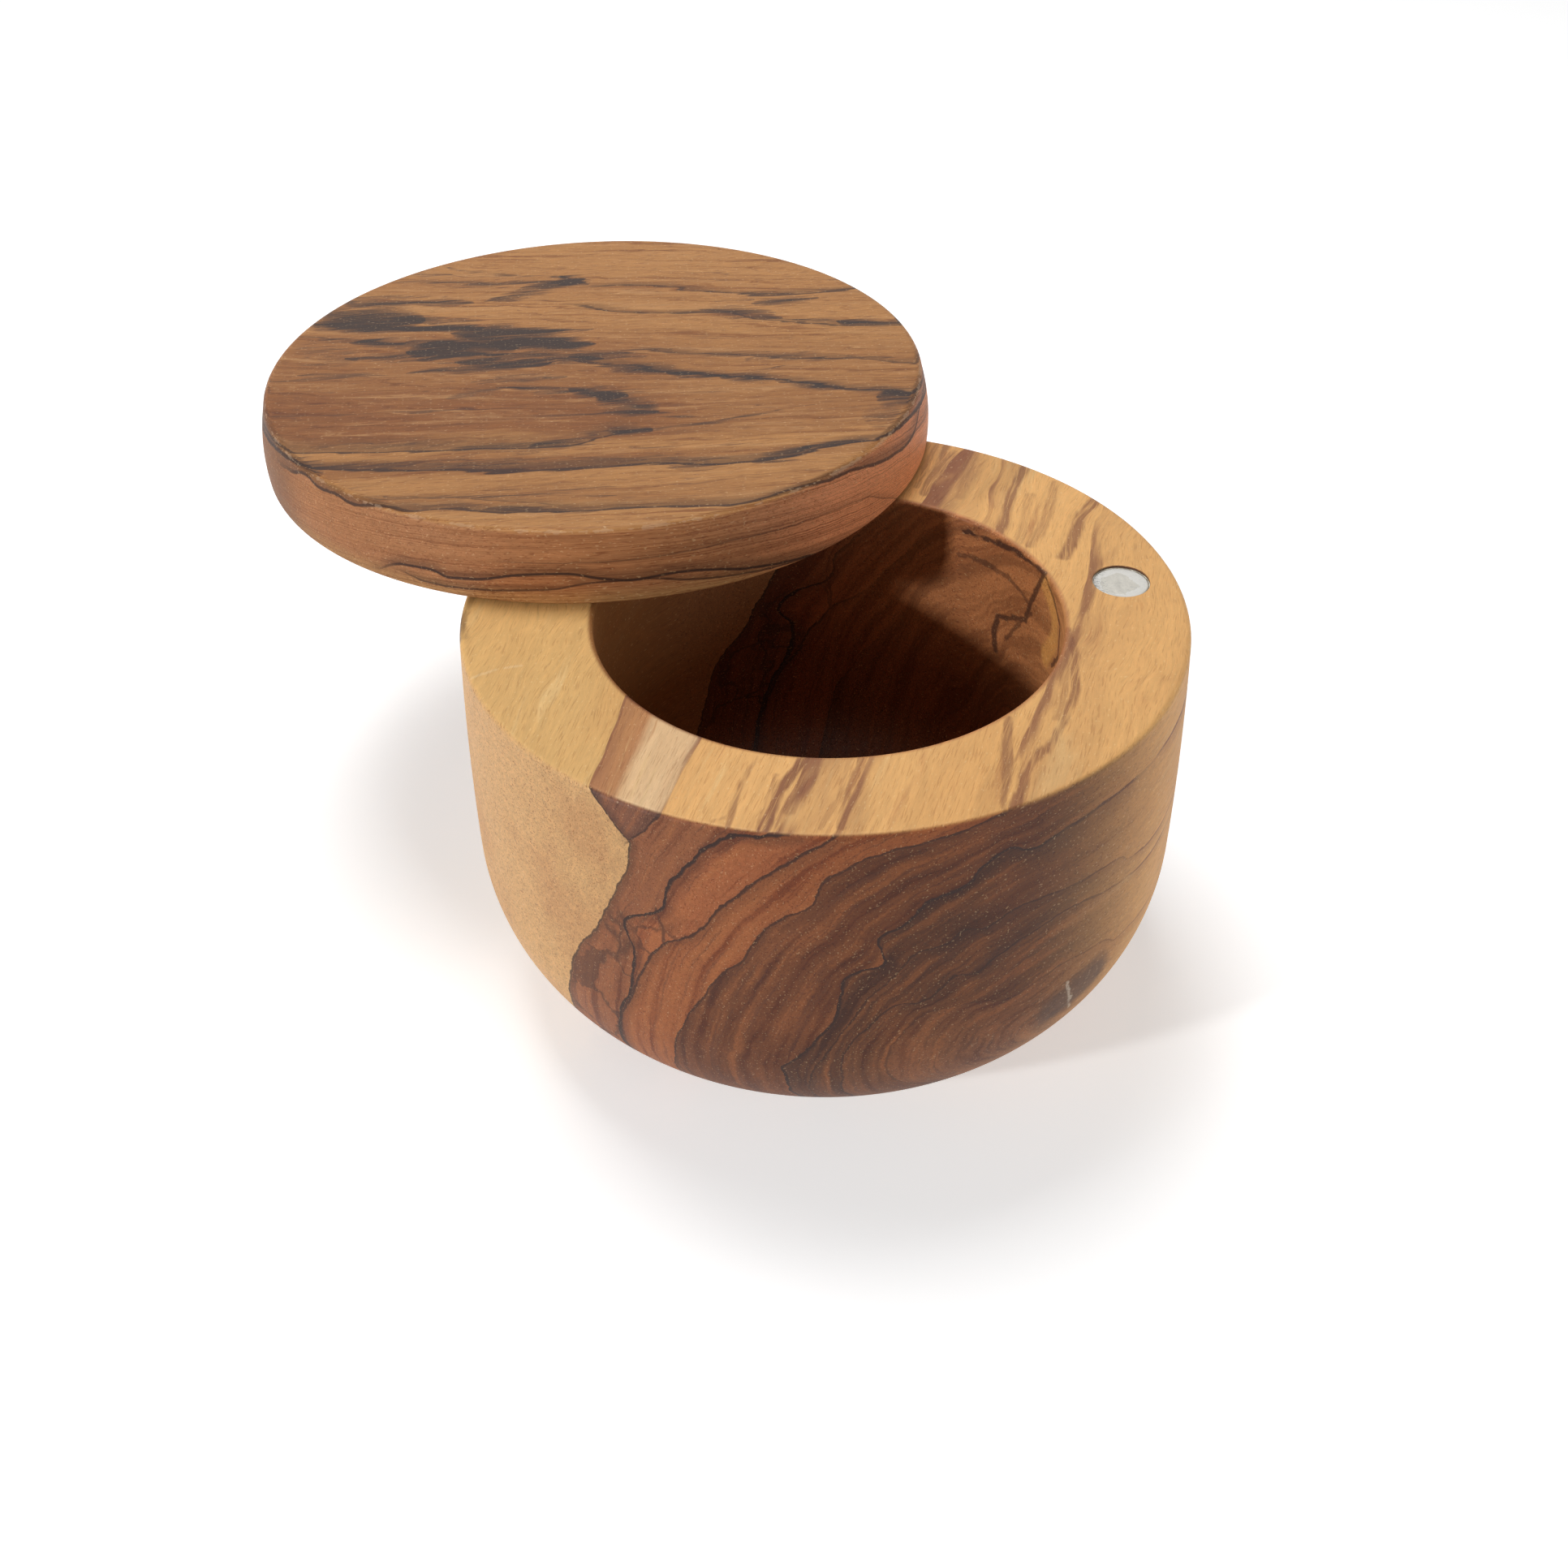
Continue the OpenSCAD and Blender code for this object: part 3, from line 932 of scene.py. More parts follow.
# fine rings follow the veins halfway, and fray along the grain
ring = plus(tree, times(tree, ring, 0.35), times(tree, minus(tree, SAPWOOD_RADIUS, radius), 0.65))
stripe_at = combine(tree, times(tree, ring, 0.62), times(tree, y, 0.03), times(tree, angle, 0.03))
stripe = noise(tree, stripe_at, 4.0, 0.58)
pencil_at = combine(tree, times(tree, ring, 1.7), times(tree, y, 0.05), times(tree, angle, 0.05))
pencil = ease(tree, noise(tree, pencil_at, 2.0, 0.6), 0.57, 0.66)
broad = noise(tree, vector_calc(tree, "MULTIPLY", along, (0.07, 0.02, 0.07)), 2.0)
ring_share = plus(tree, 0.1, times(tree, heart, 0.9))
dark_stripe = times(tree, ease(tree, stripe, 0.52, 0.34), ring_share)
end = mix(tree, times(tree, dark_stripe, 0.8), end, RING_SHADE, "MULTIPLY")
pale_stripe = times(tree, ease(tree, stripe, 0.5, 0.68), ring_share)
end = mix(tree, times(tree, pale_stripe, 0.42), end, RING_PALE)
end = mix(tree, times(tree, pencil, times(tree, ring_share, 0.38)), end, PENCIL)
end = mix(tree, ease(tree, broad, 0.45, 0.7, 0.0, 0.25), end, WARM_END)
grey = times(tree, ease(tree, a, 2.0, 30.0), ease(tree, z, 16.0, 34.0))
end = mix(tree, times(tree, grey, 0.7), end, GREY_VEIL, "MULTIPLY")
streaks = times(tree, ease(tree, stripe, 0.42, 0.3), heart)
face = mix(tree, times(tree, streaks, 0.7), face, FACE_STREAK)
face = mix(tree, times(tree, ease(tree, stripe, 0.56, 0.7), 0.45), face, FACE_PALE)
face = mix(tree, ease(tree, broad, 0.42, 0.7, 0.0, 0.4), face, FACE_WARM)

# %% Bowl wood: lay the veins over
VEIN_INK, VEIN_ON_FACE = rgb(50, 29, 23), rgb(134, 82, 54)
# crisp side, dark core and soft tail in millimetres, then the strength of the tail and of the vein
VEIN_LOOKS = {
    "sapwood": (0.12, 0.6, 1.6, 0.5, 0.85),
    "first": (0.15, 0.95, 2.2, 0.45, 1.0),
    "second": (0.15, 0.75, 2.0, 0.4, 0.9),
    "third": (0.12, 0.55, 2.2, 0.35, 0.85),
    "fourth": (0.12, 0.75, 2.8, 0.35, 1.0),
    "fifth": (0.12, 0.5, 1.8, 0.35, 0.8),
    "sixth": (0.12, 0.5, 2.2, 0.3, 0.8),
    "seventh": (0.15, 0.4, 2.2, 0.3, 0.5),
}
WEDGE_LOOK = (0.15, 0.4, 1.5, 0.3, 0.8)


def vein_mask(tree, distance, look):
    """A vein with the look of one row of the table, at a signed distance from its crisp side."""
    crisp, core, tail, faint, strength = look
    return use(tree, vein, Distance=distance, Crisp=crisp, Core=core, Tail=tail, Tail_Strength=faint,
               Strength=strength)["Mask"]


masks = [vein_mask(tree, inside[name], look) for name, look in VEIN_LOOKS.items()]
masks.append(times(tree, vein_mask(tree, wedge_depth, WEDGE_LOOK), above))
# between the sapwood and the second vein, small dark cells close up like a net
wobbly = use(tree, ragged, Place=bent, Wide=1.3, Fine=0.25)["Place"]
cells = add(tree, "TexVoronoi", {"feature": "DISTANCE_TO_EDGE"}, Scale=1.0, Randomness=0.9,
            Vector=vector_calc(tree, "MULTIPLY", wobbly, (0.12, 0.02, 0.12)))
net = ease(tree, cells.outputs["Distance"], 0.008, 0.07, 0.6, 0.0)
near_edge = times(tree, heart, ease(tree, inside["second"], -0.5, 1.5, 1.0, 0.0))
near_edge = times(tree, near_edge, ease(tree, z, 42.0, 48.0, 1.0, 0.0))
masks.append(times(tree, net, near_edge))
TWIG = [(-8.7, 0, 46.5), (-7.6, 0, 43.5), (-7.8, 0, 40.9)]
masks.append(stroke(tree, combine(tree, a, 0.0, z), TWIG, 0.5, 0.7))
lines = darkest(tree, masks)
end = mix(tree, lines, end, VEIN_INK)
patchy = noise(tree, vector_calc(tree, "MULTIPLY", along, (0.25, 0.06, 0.1)), 2.0)
patchy = ease(tree, patchy, 0.36, 0.56, 0.25, 0.95)
face = mix(tree, times(tree, lines, patchy), face, VEIN_ON_FACE)

# %% Bowl wood: streaks on the rim
RIM_BROWN = rgb(132, 82, 52)
# points across the rim as seen from above, half the width, and the strength
RIM_STREAKS = [
    ([(-7.7, -35.1), (-9.4, -39.3), (-10.9, -45.4), (-11.8, -50.7)], 0.6, 0.6),
    ([(-10.9, -45.0), (-11.3, -48.1), (-13.6, -49.2)], 0.5, 0.35),
    ([(-1.7, -35.9), (-4.0, -40.1), (-5.6, -43.3), (-7.2, -50.6)], 1.1, 0.95),
    ([(-1.2, -37.6), (-2.9, -43.3), (-4.1, -47.2)], 1.1, 0.45),
    ([(-5.8, -40.1), (-6.9, -44.9), (-7.6, -49.6)], 0.6, 0.4),
    ([(4.7, -36.7), (3.1, -43.2), (2.1, -50.2)], 0.7, 0.6),
    ([(3.4, -36.7), (2.0, -44.8), (-0.3, -50.3)], 0.6, 0.4),
    ([(24.0, -27.9), (23.3, -35.7), (22.0, -46.2)], 0.8, 0.7),
    ([(34.2, -6.9), (34.7, -13.9), (33.8, -21.5), (31.3, -28.7), (28.7, -33.9), (25.2, -39.8),
      (23.3, -46.2)], 0.9, 0.8),
    ([(33.3, -12.0), (32.3, -21.5), (30.5, -27.9)], 1.0, 0.4),
    ([(20.1, 48.2), (18.6, 39.9), (15.9, 31.2)], 1.3, 0.7),
    ([(18.7, 48.2), (16.6, 38.5), (14.7, 33.2)], 0.7, 0.5),
    ([(21.0, 45.1), (19.2, 35.9), (17.1, 30.2)], 0.8, 0.4),
    ([(32.7, 40.0), (30.1, 33.3), (28.2, 25.7), (26.6, 18.8)], 1.1, 0.8),
    ([(42.5, 29.5), (40.1, 25.2), (37.6, 17.2), (35.6, 12.3)], 1.4, 0.8),
    ([(36.6, 34.7), (34.7, 25.7), (33.3, 20.8), (31.1, 15.5)], 1.1, 0.45),
    ([(32.4, 30.7), (30.6, 22.0), (29.4, 16.5)], 1.0, 0.35),
    ([(24.4, 44.0), (22.5, 35.9), (21.2, 30.2)], 1.4, 0.3),
]
jitter = use(tree, ragged, Place=mm, Wide=0.45, Fine=0.25)["Place"]
rim_streaks = 0.0
for points, width, strength in RIM_STREAKS:
    rim_streaks = stroke(tree, jitter, [(px, py, BOWL_H) for px, py in points], width, strength, rim_streaks)
filament_at = vector_calc(tree, "MULTIPLY", along, (1.6, 0.07, 0.6))
filament = ease(tree, noise(tree, filament_at, 3.0, 0.7), 0.36, 0.56, 0.35, 1.0)
face = mix(tree, times(tree, rim_streaks, filament), face, RIM_BROWN)

# %% [markdown]
# ## The bowl's wood: knots, a crack and a scratch
#
# The small accidents make it one real piece: a knot that curls on the well's right wall, a short pale
# crack low on the right side with a dark bruise beside it, dark bark at the rim's left edge and a faint
# scratch near that.

# %% Bowl wood: small accidents
KNOT_LINES = [
    ([(21.8, 23.2, 59.7), (26.1, 19.1, 60.2), (30.4, 12.6, 61.4), (32.4, 7.9, 61.8)], 0.7, 0.85),
    ([(32.4, 7.8, 62.0), (31.9, 9.3, 58.6), (31.1, 11.0, 54.5), (30.8, 11.9, 51.0), (27.4, 17.5, 47.9),
      (26.9, 18.1, 44.4), (27.3, 17.6, 41.6)], 0.8, 0.8),
    ([(32.4, 7.7, 61.9), (33.2, 5.0, 60.5), (34.1, -1.1, 58.0), (34.1, -2.0, 54.0), (33.9, 1.4, 49.8)],
     0.6, 0.7),
    ([(28.5, 15.9, 44.6), (30.4, 12.7, 50.5), (31.4, 10.4, 53.2)], 0.6, 0.6),
    ([(21.1, 23.8, 55.5), (25.0, 20.3, 55.8), (28.2, 16.3, 56.0), (30.9, 11.5, 54.8)], 0.6, 0.55),
]
ACCIDENTS = {
    "eye": ([(32.7, 6.9, 60.2), (33.7, 2.5, 57.8), (33.9, 1.1, 54.7), (33.3, 4.6, 49.5)], 2.4, 0.8),
    "bark": ([(-50.4, -9.6, 61.0), (-51.5, -4.5, 61.2), (-50.6, 0.6, 61.0)], 1.5, 0.85),
    "scratch": ([(-47.5, -19.4, 62.0), (-44.8, -17.6, 62.0), (-41.6, -16.5, 62.0)], 0.4, 0.28),
    "bruise": ([(32.5, -41.6, 22.0), (37.9, -37.1, 24.0)], 5.0, 0.75),
    "crack": ([(33.9, -41.0, 26.5), (34.4, -39.8, 22.5), (35.3, -38.1, 18.6)], 0.45, 0.6),
}
knot = darkest(tree, [stroke(tree, jitter, *row) for row in KNOT_LINES])
accident = {}
for name, row in ACCIDENTS.items():
    accident[name] = stroke(tree, jitter, *row)
print("accidents", list(accident))

# %% Bowl wood: face or end, the well and the bore
GRAIN = (0.2785, 0.9604, 0.0)
FLANK_PAINTED_SHADE, WELL_PAINTED_SHADE, BORE_DARK = rgb(244, 238, 236), rgb(168, 140, 126), rgb(74, 50, 30)
WALL_DARK, WALL_LIGHT = rgb(164, 104, 62), rgb(196, 128, 78)
EYE, BARK, BRUISE = rgb(214, 152, 82), rgb(58, 34, 26), rgb(74, 54, 46)
SCRATCH_PALE, CRACK_PALE = rgb(240, 214, 170), rgb(214, 196, 174)
cut_across = use(tree, end_grain, Normal=spot.outputs["Normal"], Grain=GRAIN, Low=0.15, High=0.72)["Share"]
# painted shade: the face grain below the rim's flat top is darkened a little, so the sides read darker than
# the top
face = mix(tree, ease(tree, z, 61.6, 60.4), face, FLANK_PAINTED_SHADE, "MULTIPLY")
body = mix(tree, cut_across, face, end)
# painted shade: the well's wall is darker the deeper it goes, and its left side darker than its right, where
# the lid's shadow falls
within_well = ease(tree, axis_distance(tree, mm, WELL_AXIS)[0], WELL_R + 0.3, WELL_R + 1.0, 1.0, 0.0)
smooth_wall = mix(tree, ease(tree, stripe, 0.4, 0.62), WALL_DARK, WALL_LIGHT)
body = mix(tree, times(tree, times(tree, within_well, 0.75), ease(tree, x, -6.0, 14.0)), body, smooth_wall)
# painted shade in the well: deeper down and towards the left
deep = calc(tree, "MAXIMUM", ease(tree, z, 46.0, 30.0, 0.0, 0.8), ease(tree, x, 8.0, -14.0, 0.0, 0.9))
body = mix(tree, times(tree, within_well, deep), body, WELL_PAINTED_SHADE, "MULTIPLY")
body = mix(tree, accident["eye"], body, EYE)
body = mix(tree, darkest(tree, [knot, accident["bark"]]), body, BARK)
body = mix(tree, accident["bruise"], body, BRUISE)
body = mix(tree, accident["scratch"], body, SCRATCH_PALE)
body = mix(tree, accident["crack"], body, CRACK_PALE)
MAGNET_AXIS = axis_of("rim_magnet")
in_bore = ease(tree, axis_distance(tree, mm, MAGNET_AXIS)[0], 4.3, 4.5, 1.0, 0.0)
in_bore = times(tree, in_bore, ease(tree, separate(tree, mm)[2], BOWL_H - 0.02, BOWL_H - 0.14))
body = mix(tree, times(tree, in_bore, 0.85), body, BORE_DARK)

# %% Bowl wood: fibres and finish


def finish_wood(piece, material, tree, shader, body, thread, fibre, pore, gloss):
    """Lays the fibres over a body colour and gives the piece the finished wood."""
    done = use(tree, oiled_wood, Colour=body, Streak=thread["Streak"], Fibre=thread["Fibre"],
               Pore=thread["Pore"], Fleck=thread["Fleck"], Streak_Strength=0.3, Fibre_Strength=fibre,
               Pore_Strength=pore)
    join(tree, done["Colour"], shader.inputs["Base Color"])
    join(tree, done["Roughness"], shader.inputs["Roughness"])
    shader.inputs["Specular IOR Level"].default_value = gloss
    bump = add(tree, "Bump", Strength=0.4, Distance=0.00008, Height=done["Height"])
    join(tree, bump.outputs["Normal"], shader.inputs["Normal"])
    piece.data.materials.clear()
    piece.data.materials.append(material)
    print(material.name, "has", len(tree.nodes), "nodes")


thread = use(tree, fibres, Place=along)
fibre = ease(tree, cut_across, 0.0, 1.0, 0.42, 0.8)
pore = ease(tree, cut_across, 0.0, 1.0, 0.28, 0.7)
finish_wood(bowl, material, tree, shader, body, thread, fibre, pore, 0.3)

# %% [markdown]
# ## The lid's wood: flat layers
#
# The lid comes from another plank. Its layers lie almost flat and dip a little, so on the top each shows
# as a long streak, and on the side the same layers come out close together. One number, the layer's
# height V, tells them apart: it runs across the top and changes about six times as fast down the side.

# %% Lid wood: layers
LAYER_DIP = 6.25
GRAIN_TURN = 9.0
ALONG_SPAN, LAYER_SPAN = (-58.0, 58.0), (-125.0, 65.0)
# where each layer starts along the grain, and its line as (along, layer) points
LAYERS = {
    "front": (-52, [
        (-58, -20), (-50.5, -24), (-49.7, -39.4), (-47.5, -39.7), (-44.9, -36), (-42.8, -41.6),
        (-39.6, -43.4), (-37.2, -48), (-32.9, -43.9), (-26.5, -44.3), (-22, -44.6), (-17.5, -46.4),
        (-7.2, -47.3), (5.7, -48), (19.4, -48.7), (27.5, -47), (32, -48.6), (35.9, -48.8), (41, -53.9),
        (44.7, -54.9), (47.9, -51), (50.3, -33.5), (58, -10)]),
    "front_upper": (-40, [
        (-58, -36), (-31.8, -40.2), (-24, -41), (-13.6, -44.2), (-7.2, -46), (6, -47.6), (58, -49)]),
    "low": (-60, [
        (-58, -28.5), (-46.2, -29.2), (-40.2, -30.1), (-33.5, -31.1), (-26.8, -32.6), (-20.1, -33.9),
        (-13.5, -34.6), (-6.8, -35.2), (6.6, -35.9), (13.3, -36.6), (20.1, -36.8), (24.3, -36.5),
        (28.5, -35.7), (34.2, -34.4), (41.4, -33.3), (58, -32)]),
    "flame": (-60, [
        (-58, -22), (-46.7, -23.8), (-40.6, -24.8), (-33.8, -25.7), (-20.2, -27.2), (-13.4, -28.1),
        (-6.6, -28.6), (-3.8, -27.8), (-0.9, -26), (6.1, -24.4), (58, -20)]),
    "right": (-8, [
        (-58, 10), (-6.2, 2.1), (-2.6, 0.6), (6.2, -2.5), (13.4, -5.3), (20.6, -8.1), (27, -9.9),
        (33.9, -13.5), (40.8, -16.2), (49.9, -18.8), (58, -21)]),
    "right_upper": (4, [
        (-58, 12), (5.9, 3.7), (17, 0.5), (24.3, -1.5), (31.7, -3), (41.3, -4.5), (47.6, -7.2),
        (58, -9)]),
    "back": (-6, [
        (-58, 30), (-4.7, 23.9), (10.8, 18.6), (18.6, 17.3), (23.2, 16), (28.4, 12.9), (37.4, 10),
        (48.8, 7.5), (58, 5)]),
    "far_back": (-2, [
        (-58, 38), (0.4, 31.1), (11.6, 29.3), (19.5, 26.4), (27.3, 23.8), (35.3, 22.9), (47.4, 22.6),
        (58, 22)]),
    "under": (-37, [
        (-58, -112), (-36, -108), (-31, -96), (-27.5, -95.6), (-23.7, -101.6), (-19.7, -101.3),
        (-14.5, -95.6), (-8, -94.5), (-1.7, -101.3), (2.2, -103.7), (8.1, -101.6), (11.4, -102.9),
        (18.2, -109.9), (25.3, -115.5), (28.3, -117), (58, -120)]),
    "under_second": (-34, [
        (-58, -98), (-32, -102), (-28, -110), (-21, -112), (-15, -111), (-9.5, -109.5), (-5, -104.7),
        (1.5, -103), (12, -112), (58, -122)]),
    "pink": (-20, [
        (-58, -84), (-19, -82), (-4, -84), (20, -80), (36, -78), (42, -92), (46, -106), (58, -120)]),
}
LAYER_LOOKS = {
    "front": (0.25, 0.8, 2.2, 0.55, 0.95),
    "front_upper": (0.25, 0.5, 1.6, 0.5, 0.6),
    "low": (0.3, 1.0, 2.8, 0.55, 1.0),
    "flame": (0.25, 0.8, 5.0, 0.45, 0.95),
    "right": (0.5, 1.0, 2.0, 0.45, 0.95),
    "right_upper": (0.3, 0.7, 1.6, 0.5, 0.75),
    "back": (0.3, 0.7, 1.4, 0.45, 0.85),
    "far_back": (0.3, 0.8, 1.6, 0.45, 0.9),
    "under": (0.3, 0.6, 1.6, 0.5, 1.0),
    "under_second": (0.25, 0.4, 1.0, 0.45, 0.85),
    "pink": (0.15, 0.25, 1.2, 0.35, 0.55),
}

material, tree, shader = new_material("lid_olive_wood")
spot, mm = in_mm(tree)
turn = math.radians(GRAIN_TURN)
flat = add(tree, "Mapping", {"vector_type": "TEXTURE"}, Vector=mm, Location=(*LID_AXIS, LID_TOP),
           Rotation=(0.0, 0.0, turn))
u, v, depth = separate(tree, flat.outputs["Vector"])
grainwise = combine(tree, v, u, depth)
bent = use(tree, ragged, Place=grainwise, Wide=0.15, Fine=0.07)["Place"]
v, u, depth = separate(tree, bent)
layer = plus(tree, v, times(tree, depth, LAYER_DIP))
# how fast the layers go by on this face: 1 on the top, about 6 on the side
dip = Vector((-math.sin(turn), math.cos(turn), LAYER_DIP))
facing = vector_calc(tree, "DOT_PRODUCT", spot.outputs["Normal"], tuple(dip))
pace = minus(tree, dip.length_squared, times(tree, facing, facing))
pace = calc(tree, "SQRT", calc(tree, "MAXIMUM", pace, 1.0))
masks = []
for name, (starts_at, points) in LAYERS.items():
    level = drawn(tree, u, points, ALONG_SPAN, LAYER_SPAN)
    away = calc(tree, "DIVIDE", minus(tree, layer, level), pace)
    *shape, strength = LAYER_LOOKS[name]
    fade = ease(tree, u, starts_at, starts_at + 6.0, 0.0, strength)
    if name == "flame":
        fade = times(tree, fade, ease(tree, u, 2.0, 7.0, 1.0, 0.0))
    masks.append(vein_mask(tree, away, (*shape, fade)))
veins = darkest(tree, masks)
print("lid layers", list(LAYERS))

# %% [markdown]
# ## The lid's wood: smoke
#
# Dark smoky streaks gather at the left and middle of the top. Each is placed between two points,
# along and across the grain, with half its width and how dark it is. They are added up, and filaments of
# stretched noise fray the sum, so that neighbours run together as pools with torn ends.

# %% Lid wood: smoke
SMOKE = [
    (-25.8, 43.9, -2.5, 36.0, 0.4, 0.55), (-34.9, 42.7, -23.6, 41.6, 0.4, 0.45),
    (-36.5, 39.6, -0.1, 33.8, 0.7, 0.75), (-18.3, 27.7, -0.1, 34.2, 1.3, 0.95),
    (-12.0, 32.4, -0.1, 35.3, 1.1, 0.8), (-4.7, 37.5, 0.3, 31.9, 1.5, 0.9),
    (-29.3, 36.6, -12.0, 33.5, 0.4, 0.5), (-45.3, 31.6, -19.9, 27.6, 1.8, 1.0),
    (-47.8, 26.8, -28.2, 21.7, 2.9, 1.0), (-52.3, 23.8, -17.8, 16.7, 1.7, 1.0),
    (-34.3, 19.3, 0.3, 12.5, 1.2, 1.0), (-34.4, 23.4, -17.8, 20.0, 0.7, 0.7),
    (-51.5, 18.1, -31.3, 12.3, 0.5, 0.75), (-40.7, 13.8, -17.8, 9.5, 1.4, 1.0),
    (-23.9, 15.0, 0.4, 7.3, 2.7, 1.05), (-31.2, 8.8, -12.4, 7.7, 2.8, 1.05),
    (-17.8, 9.9, 0.4, 7.0, 1.6, 0.9), (-41.1, 8.5, -17.8, 5.7, 1.0, 0.9),
    (-23.1, 3.8, 1.4, 1.2, 1.4, 1.0), (-30.9, 0.7, -7.2, 0.7, 1.3, 0.95),
    (-21.1, 6.3, 8.9, 2.2, 0.5, 0.7), (-20.4, -3.9, -4.8, -3.9, 1.0, 0.75),
    (-16.5, -6.6, 2.7, -11.9, 0.8, 0.95), (-48.6, 4.1, -33.5, 0.8, 1.0, 0.55),
    (-54.0, 1.7, -36.1, 0.6, 0.5, 0.6), (-49.4, 13.9, -39.0, 7.2, 2.9, 0.42),
    (-24.4, -9.1, -15.2, -7.9, 0.9, 0.6), (-12.8, -16.5, 11.1, -18.8, 0.6, 0.85),
    (-52.6, -11.7, -34.1, -13.5, 0.4, 0.5), (-36.6, -13.1, -8.9, -13.8, 0.4, 0.5),
    (-4.9, -9.2, 4.5, -12.7, 1.2, 0.85), (-0.6, -11.9, 8.9, -18.2, 2.2, 1.0),
    (-24.5, -26.8, -1.4, -28.5, 1.2, 0.75), (-11.7, -27.7, 0.1, -24.2, 1.0, 0.65),
    (-0.3, -23.9, 7.5, -24.3, 1.0, 0.95), (-4.5, 3.0, 8.8, 0.6, 1.0, 0.9),
    (-5.7, 5.4, 13.0, 2.8, 0.5, 0.65), (-0.7, -1.3, 17.5, -5.9, 0.9, 1.0),
    (11.0, -5.2, 21.3, -7.7, 0.9, 0.9), (19.3, -7.4, 29.4, -11.1, 1.3, 1.0),
    (28.1, -11.5, 39.9, -15.6, 1.0, 1.0), (38.0, -15.3, 50.9, -19.7, 0.8, 1.0),
    (43.2, -19.0, 50.4, -22.4, 2.2, 0.95), (39.6, -24.9, 46.4, -26.0, 2.4, 0.45),
    (10.2, 1.7, 49.0, -5.7, 0.9, 0.6), (27.9, 19.7, 40.1, 20.2, 1.3, 0.85),
    (18.6, 18.7, 32.7, 12.7, 1.7, 1.0), (29.2, 13.0, 55.1, 8.2, 0.5, 0.75),
    (41.4, 10.3, 54.3, 7.3, 1.2, 0.95), (21.7, 21.4, 28.8, 21.3, 0.6, 0.6),
    (6.1, -8.0, 14.8, -7.0, 0.6, 0.45), (24.7, -6.5, 30.6, -5.5, 0.8, 0.45),
    (11.3, -23.8, 34.0, -20.2, 0.4, 0.6), (6.0, -19.4, 17.2, -21.5, 0.3, 0.5),
    (4.4, -24.1, 19.5, -23.5, 0.4, 0.45), (2.8, -29.7, 23.6, -31.3, 0.4, 0.5),
    (21.1, -36.9, 30.6, -34.0, 1.2, 1.0), (8.3, -37.2, 18.6, -37.2, 0.7, 0.9),
    (28.8, -33.9, 40.0, -33.3, 0.8, 0.95), (-5.8, -31.7, 18.2, -35.4, 0.7, 0.55),
    (-41.7, -29.2, 6.1, -34.6, 1.1, 0.55), (-48.5, -25.6, -42.1, -32.1, 1.8, 0.9),
    (-19.0, -39.3, 0.9, -41.2, 0.7, 0.45), (-32.9, -39.3, 0.8, -43.8, 0.6, 0.5),
    (-31.7, -41.9, -17.8, -44.2, 0.5, 0.55), (-19.0, -45.5, -1.8, -47.6, 0.8, 0.7),
    (-44.7, -21.8, -22.7, -25.0, 1.3, 0.45),
]
wander = noise(tree, combine(tree, times(tree, layer, 0.12), times(tree, u, 0.07), 1.0), 2.0)
cross = plus(tree, layer, times(tree, minus(tree, wander, 0.5), 2.4))
smoke_at = combine(tree, u, cross, 0.0)
smoke = 0.0
for u0, v0, u1, v1, width, strength in SMOKE:
    smoke = use(tree, streak_group, Place=smoke_at, Start=(u0, v0, 0.0), End=(u1, v1, 0.0), Width=width * 2.3,
                Strength=strength, Before=smoke)["Sum"]
filament_at = combine(tree, times(tree, cross, 1.5), times(tree, u, 0.045), 0.0)
filament = minus(tree, noise(tree, filament_at, 4.0, 0.72), 0.5)
filament = times(tree, filament, times(tree, smoke, 5.0, clamp=True))
smoke = plus(tree, times(tree, smoke, 0.8), times(tree, filament, 2.7))
halo = ease(tree, smoke, 0.05, 0.6)
smoke = ease(tree, smoke, 0.14, 1.1)
print("streaks of smoke", len(SMOKE))

# %% Lid wood: colours
BROWN_BY_LAYER = [
    (-120, 0.1), (-112, 0.6), (-104, 0.9), (-92, 0.75), (-84, 0.55), (-78, 0.25), (-62, 0.3),
    (-54, 0.1), (-48, 0.08), (-44, 0.45), (-40, 0.15), (-36.5, 0.12), (-33, 0.65), (-31, 0.25),
    (-28, 0.15), (-25, 0.75), (-18, 0.85), (-10, 0.65), (-3, 0.6), (4, 0.6), (10, 0.45), (16, 0.2),
    (24, 0.15), (32, 0.35), (38, 0.12), (60, 0.05)]
LID_PALE, LID_BROWN = rgb(182, 130, 78), rgb(122, 70, 35)
LAYER_SHADE, LAYER_PALE, HAIR_LINE = rgb(176, 144, 126), rgb(190, 142, 94), rgb(98, 64, 46)
SIDE_LOW, SIDE_HIGH, SIDE_STRIPE = rgb(184, 138, 88), rgb(180, 122, 80), rgb(130, 76, 44)
SIDE_RIGHT, SIDE_LEFT = rgb(244, 160, 112), rgb(106, 72, 48)
HALO, LAYER_INK, SMOKE_DARK = rgb(110, 72, 48), rgb(54, 35, 28), rgb(44, 33, 30)
slant = ease(tree, v, -40.0, 5.0, 0.04, 0.19)
cross = plus(tree, layer, times(tree, u, slant))
wander = noise(tree, combine(tree, times(tree, cross, 0.12), times(tree, u, 0.03), 5.0), 2.0)
wander = times(tree, minus(tree, wander, 0.5), 9.0)
brown = drawn(tree, plus(tree, cross, wander), BROWN_BY_LAYER, LAYER_SPAN, (0.0, 1.0))
to_right = ease(tree, u, 2.0, 22.0, 1.0, 0.6)
brown = times(tree, brown, to_right)
body = mix(tree, brown, LID_PALE, LID_BROWN)
stripe_at = combine(tree, times(tree, cross, 0.8), times(tree, u, 0.025), 2.0)
stripe = noise(tree, stripe_at, 5.0, 0.66)
body = mix(tree, ease(tree, stripe, 0.5, 0.32, 0.0, 0.75), body, LAYER_SHADE, "MULTIPLY")
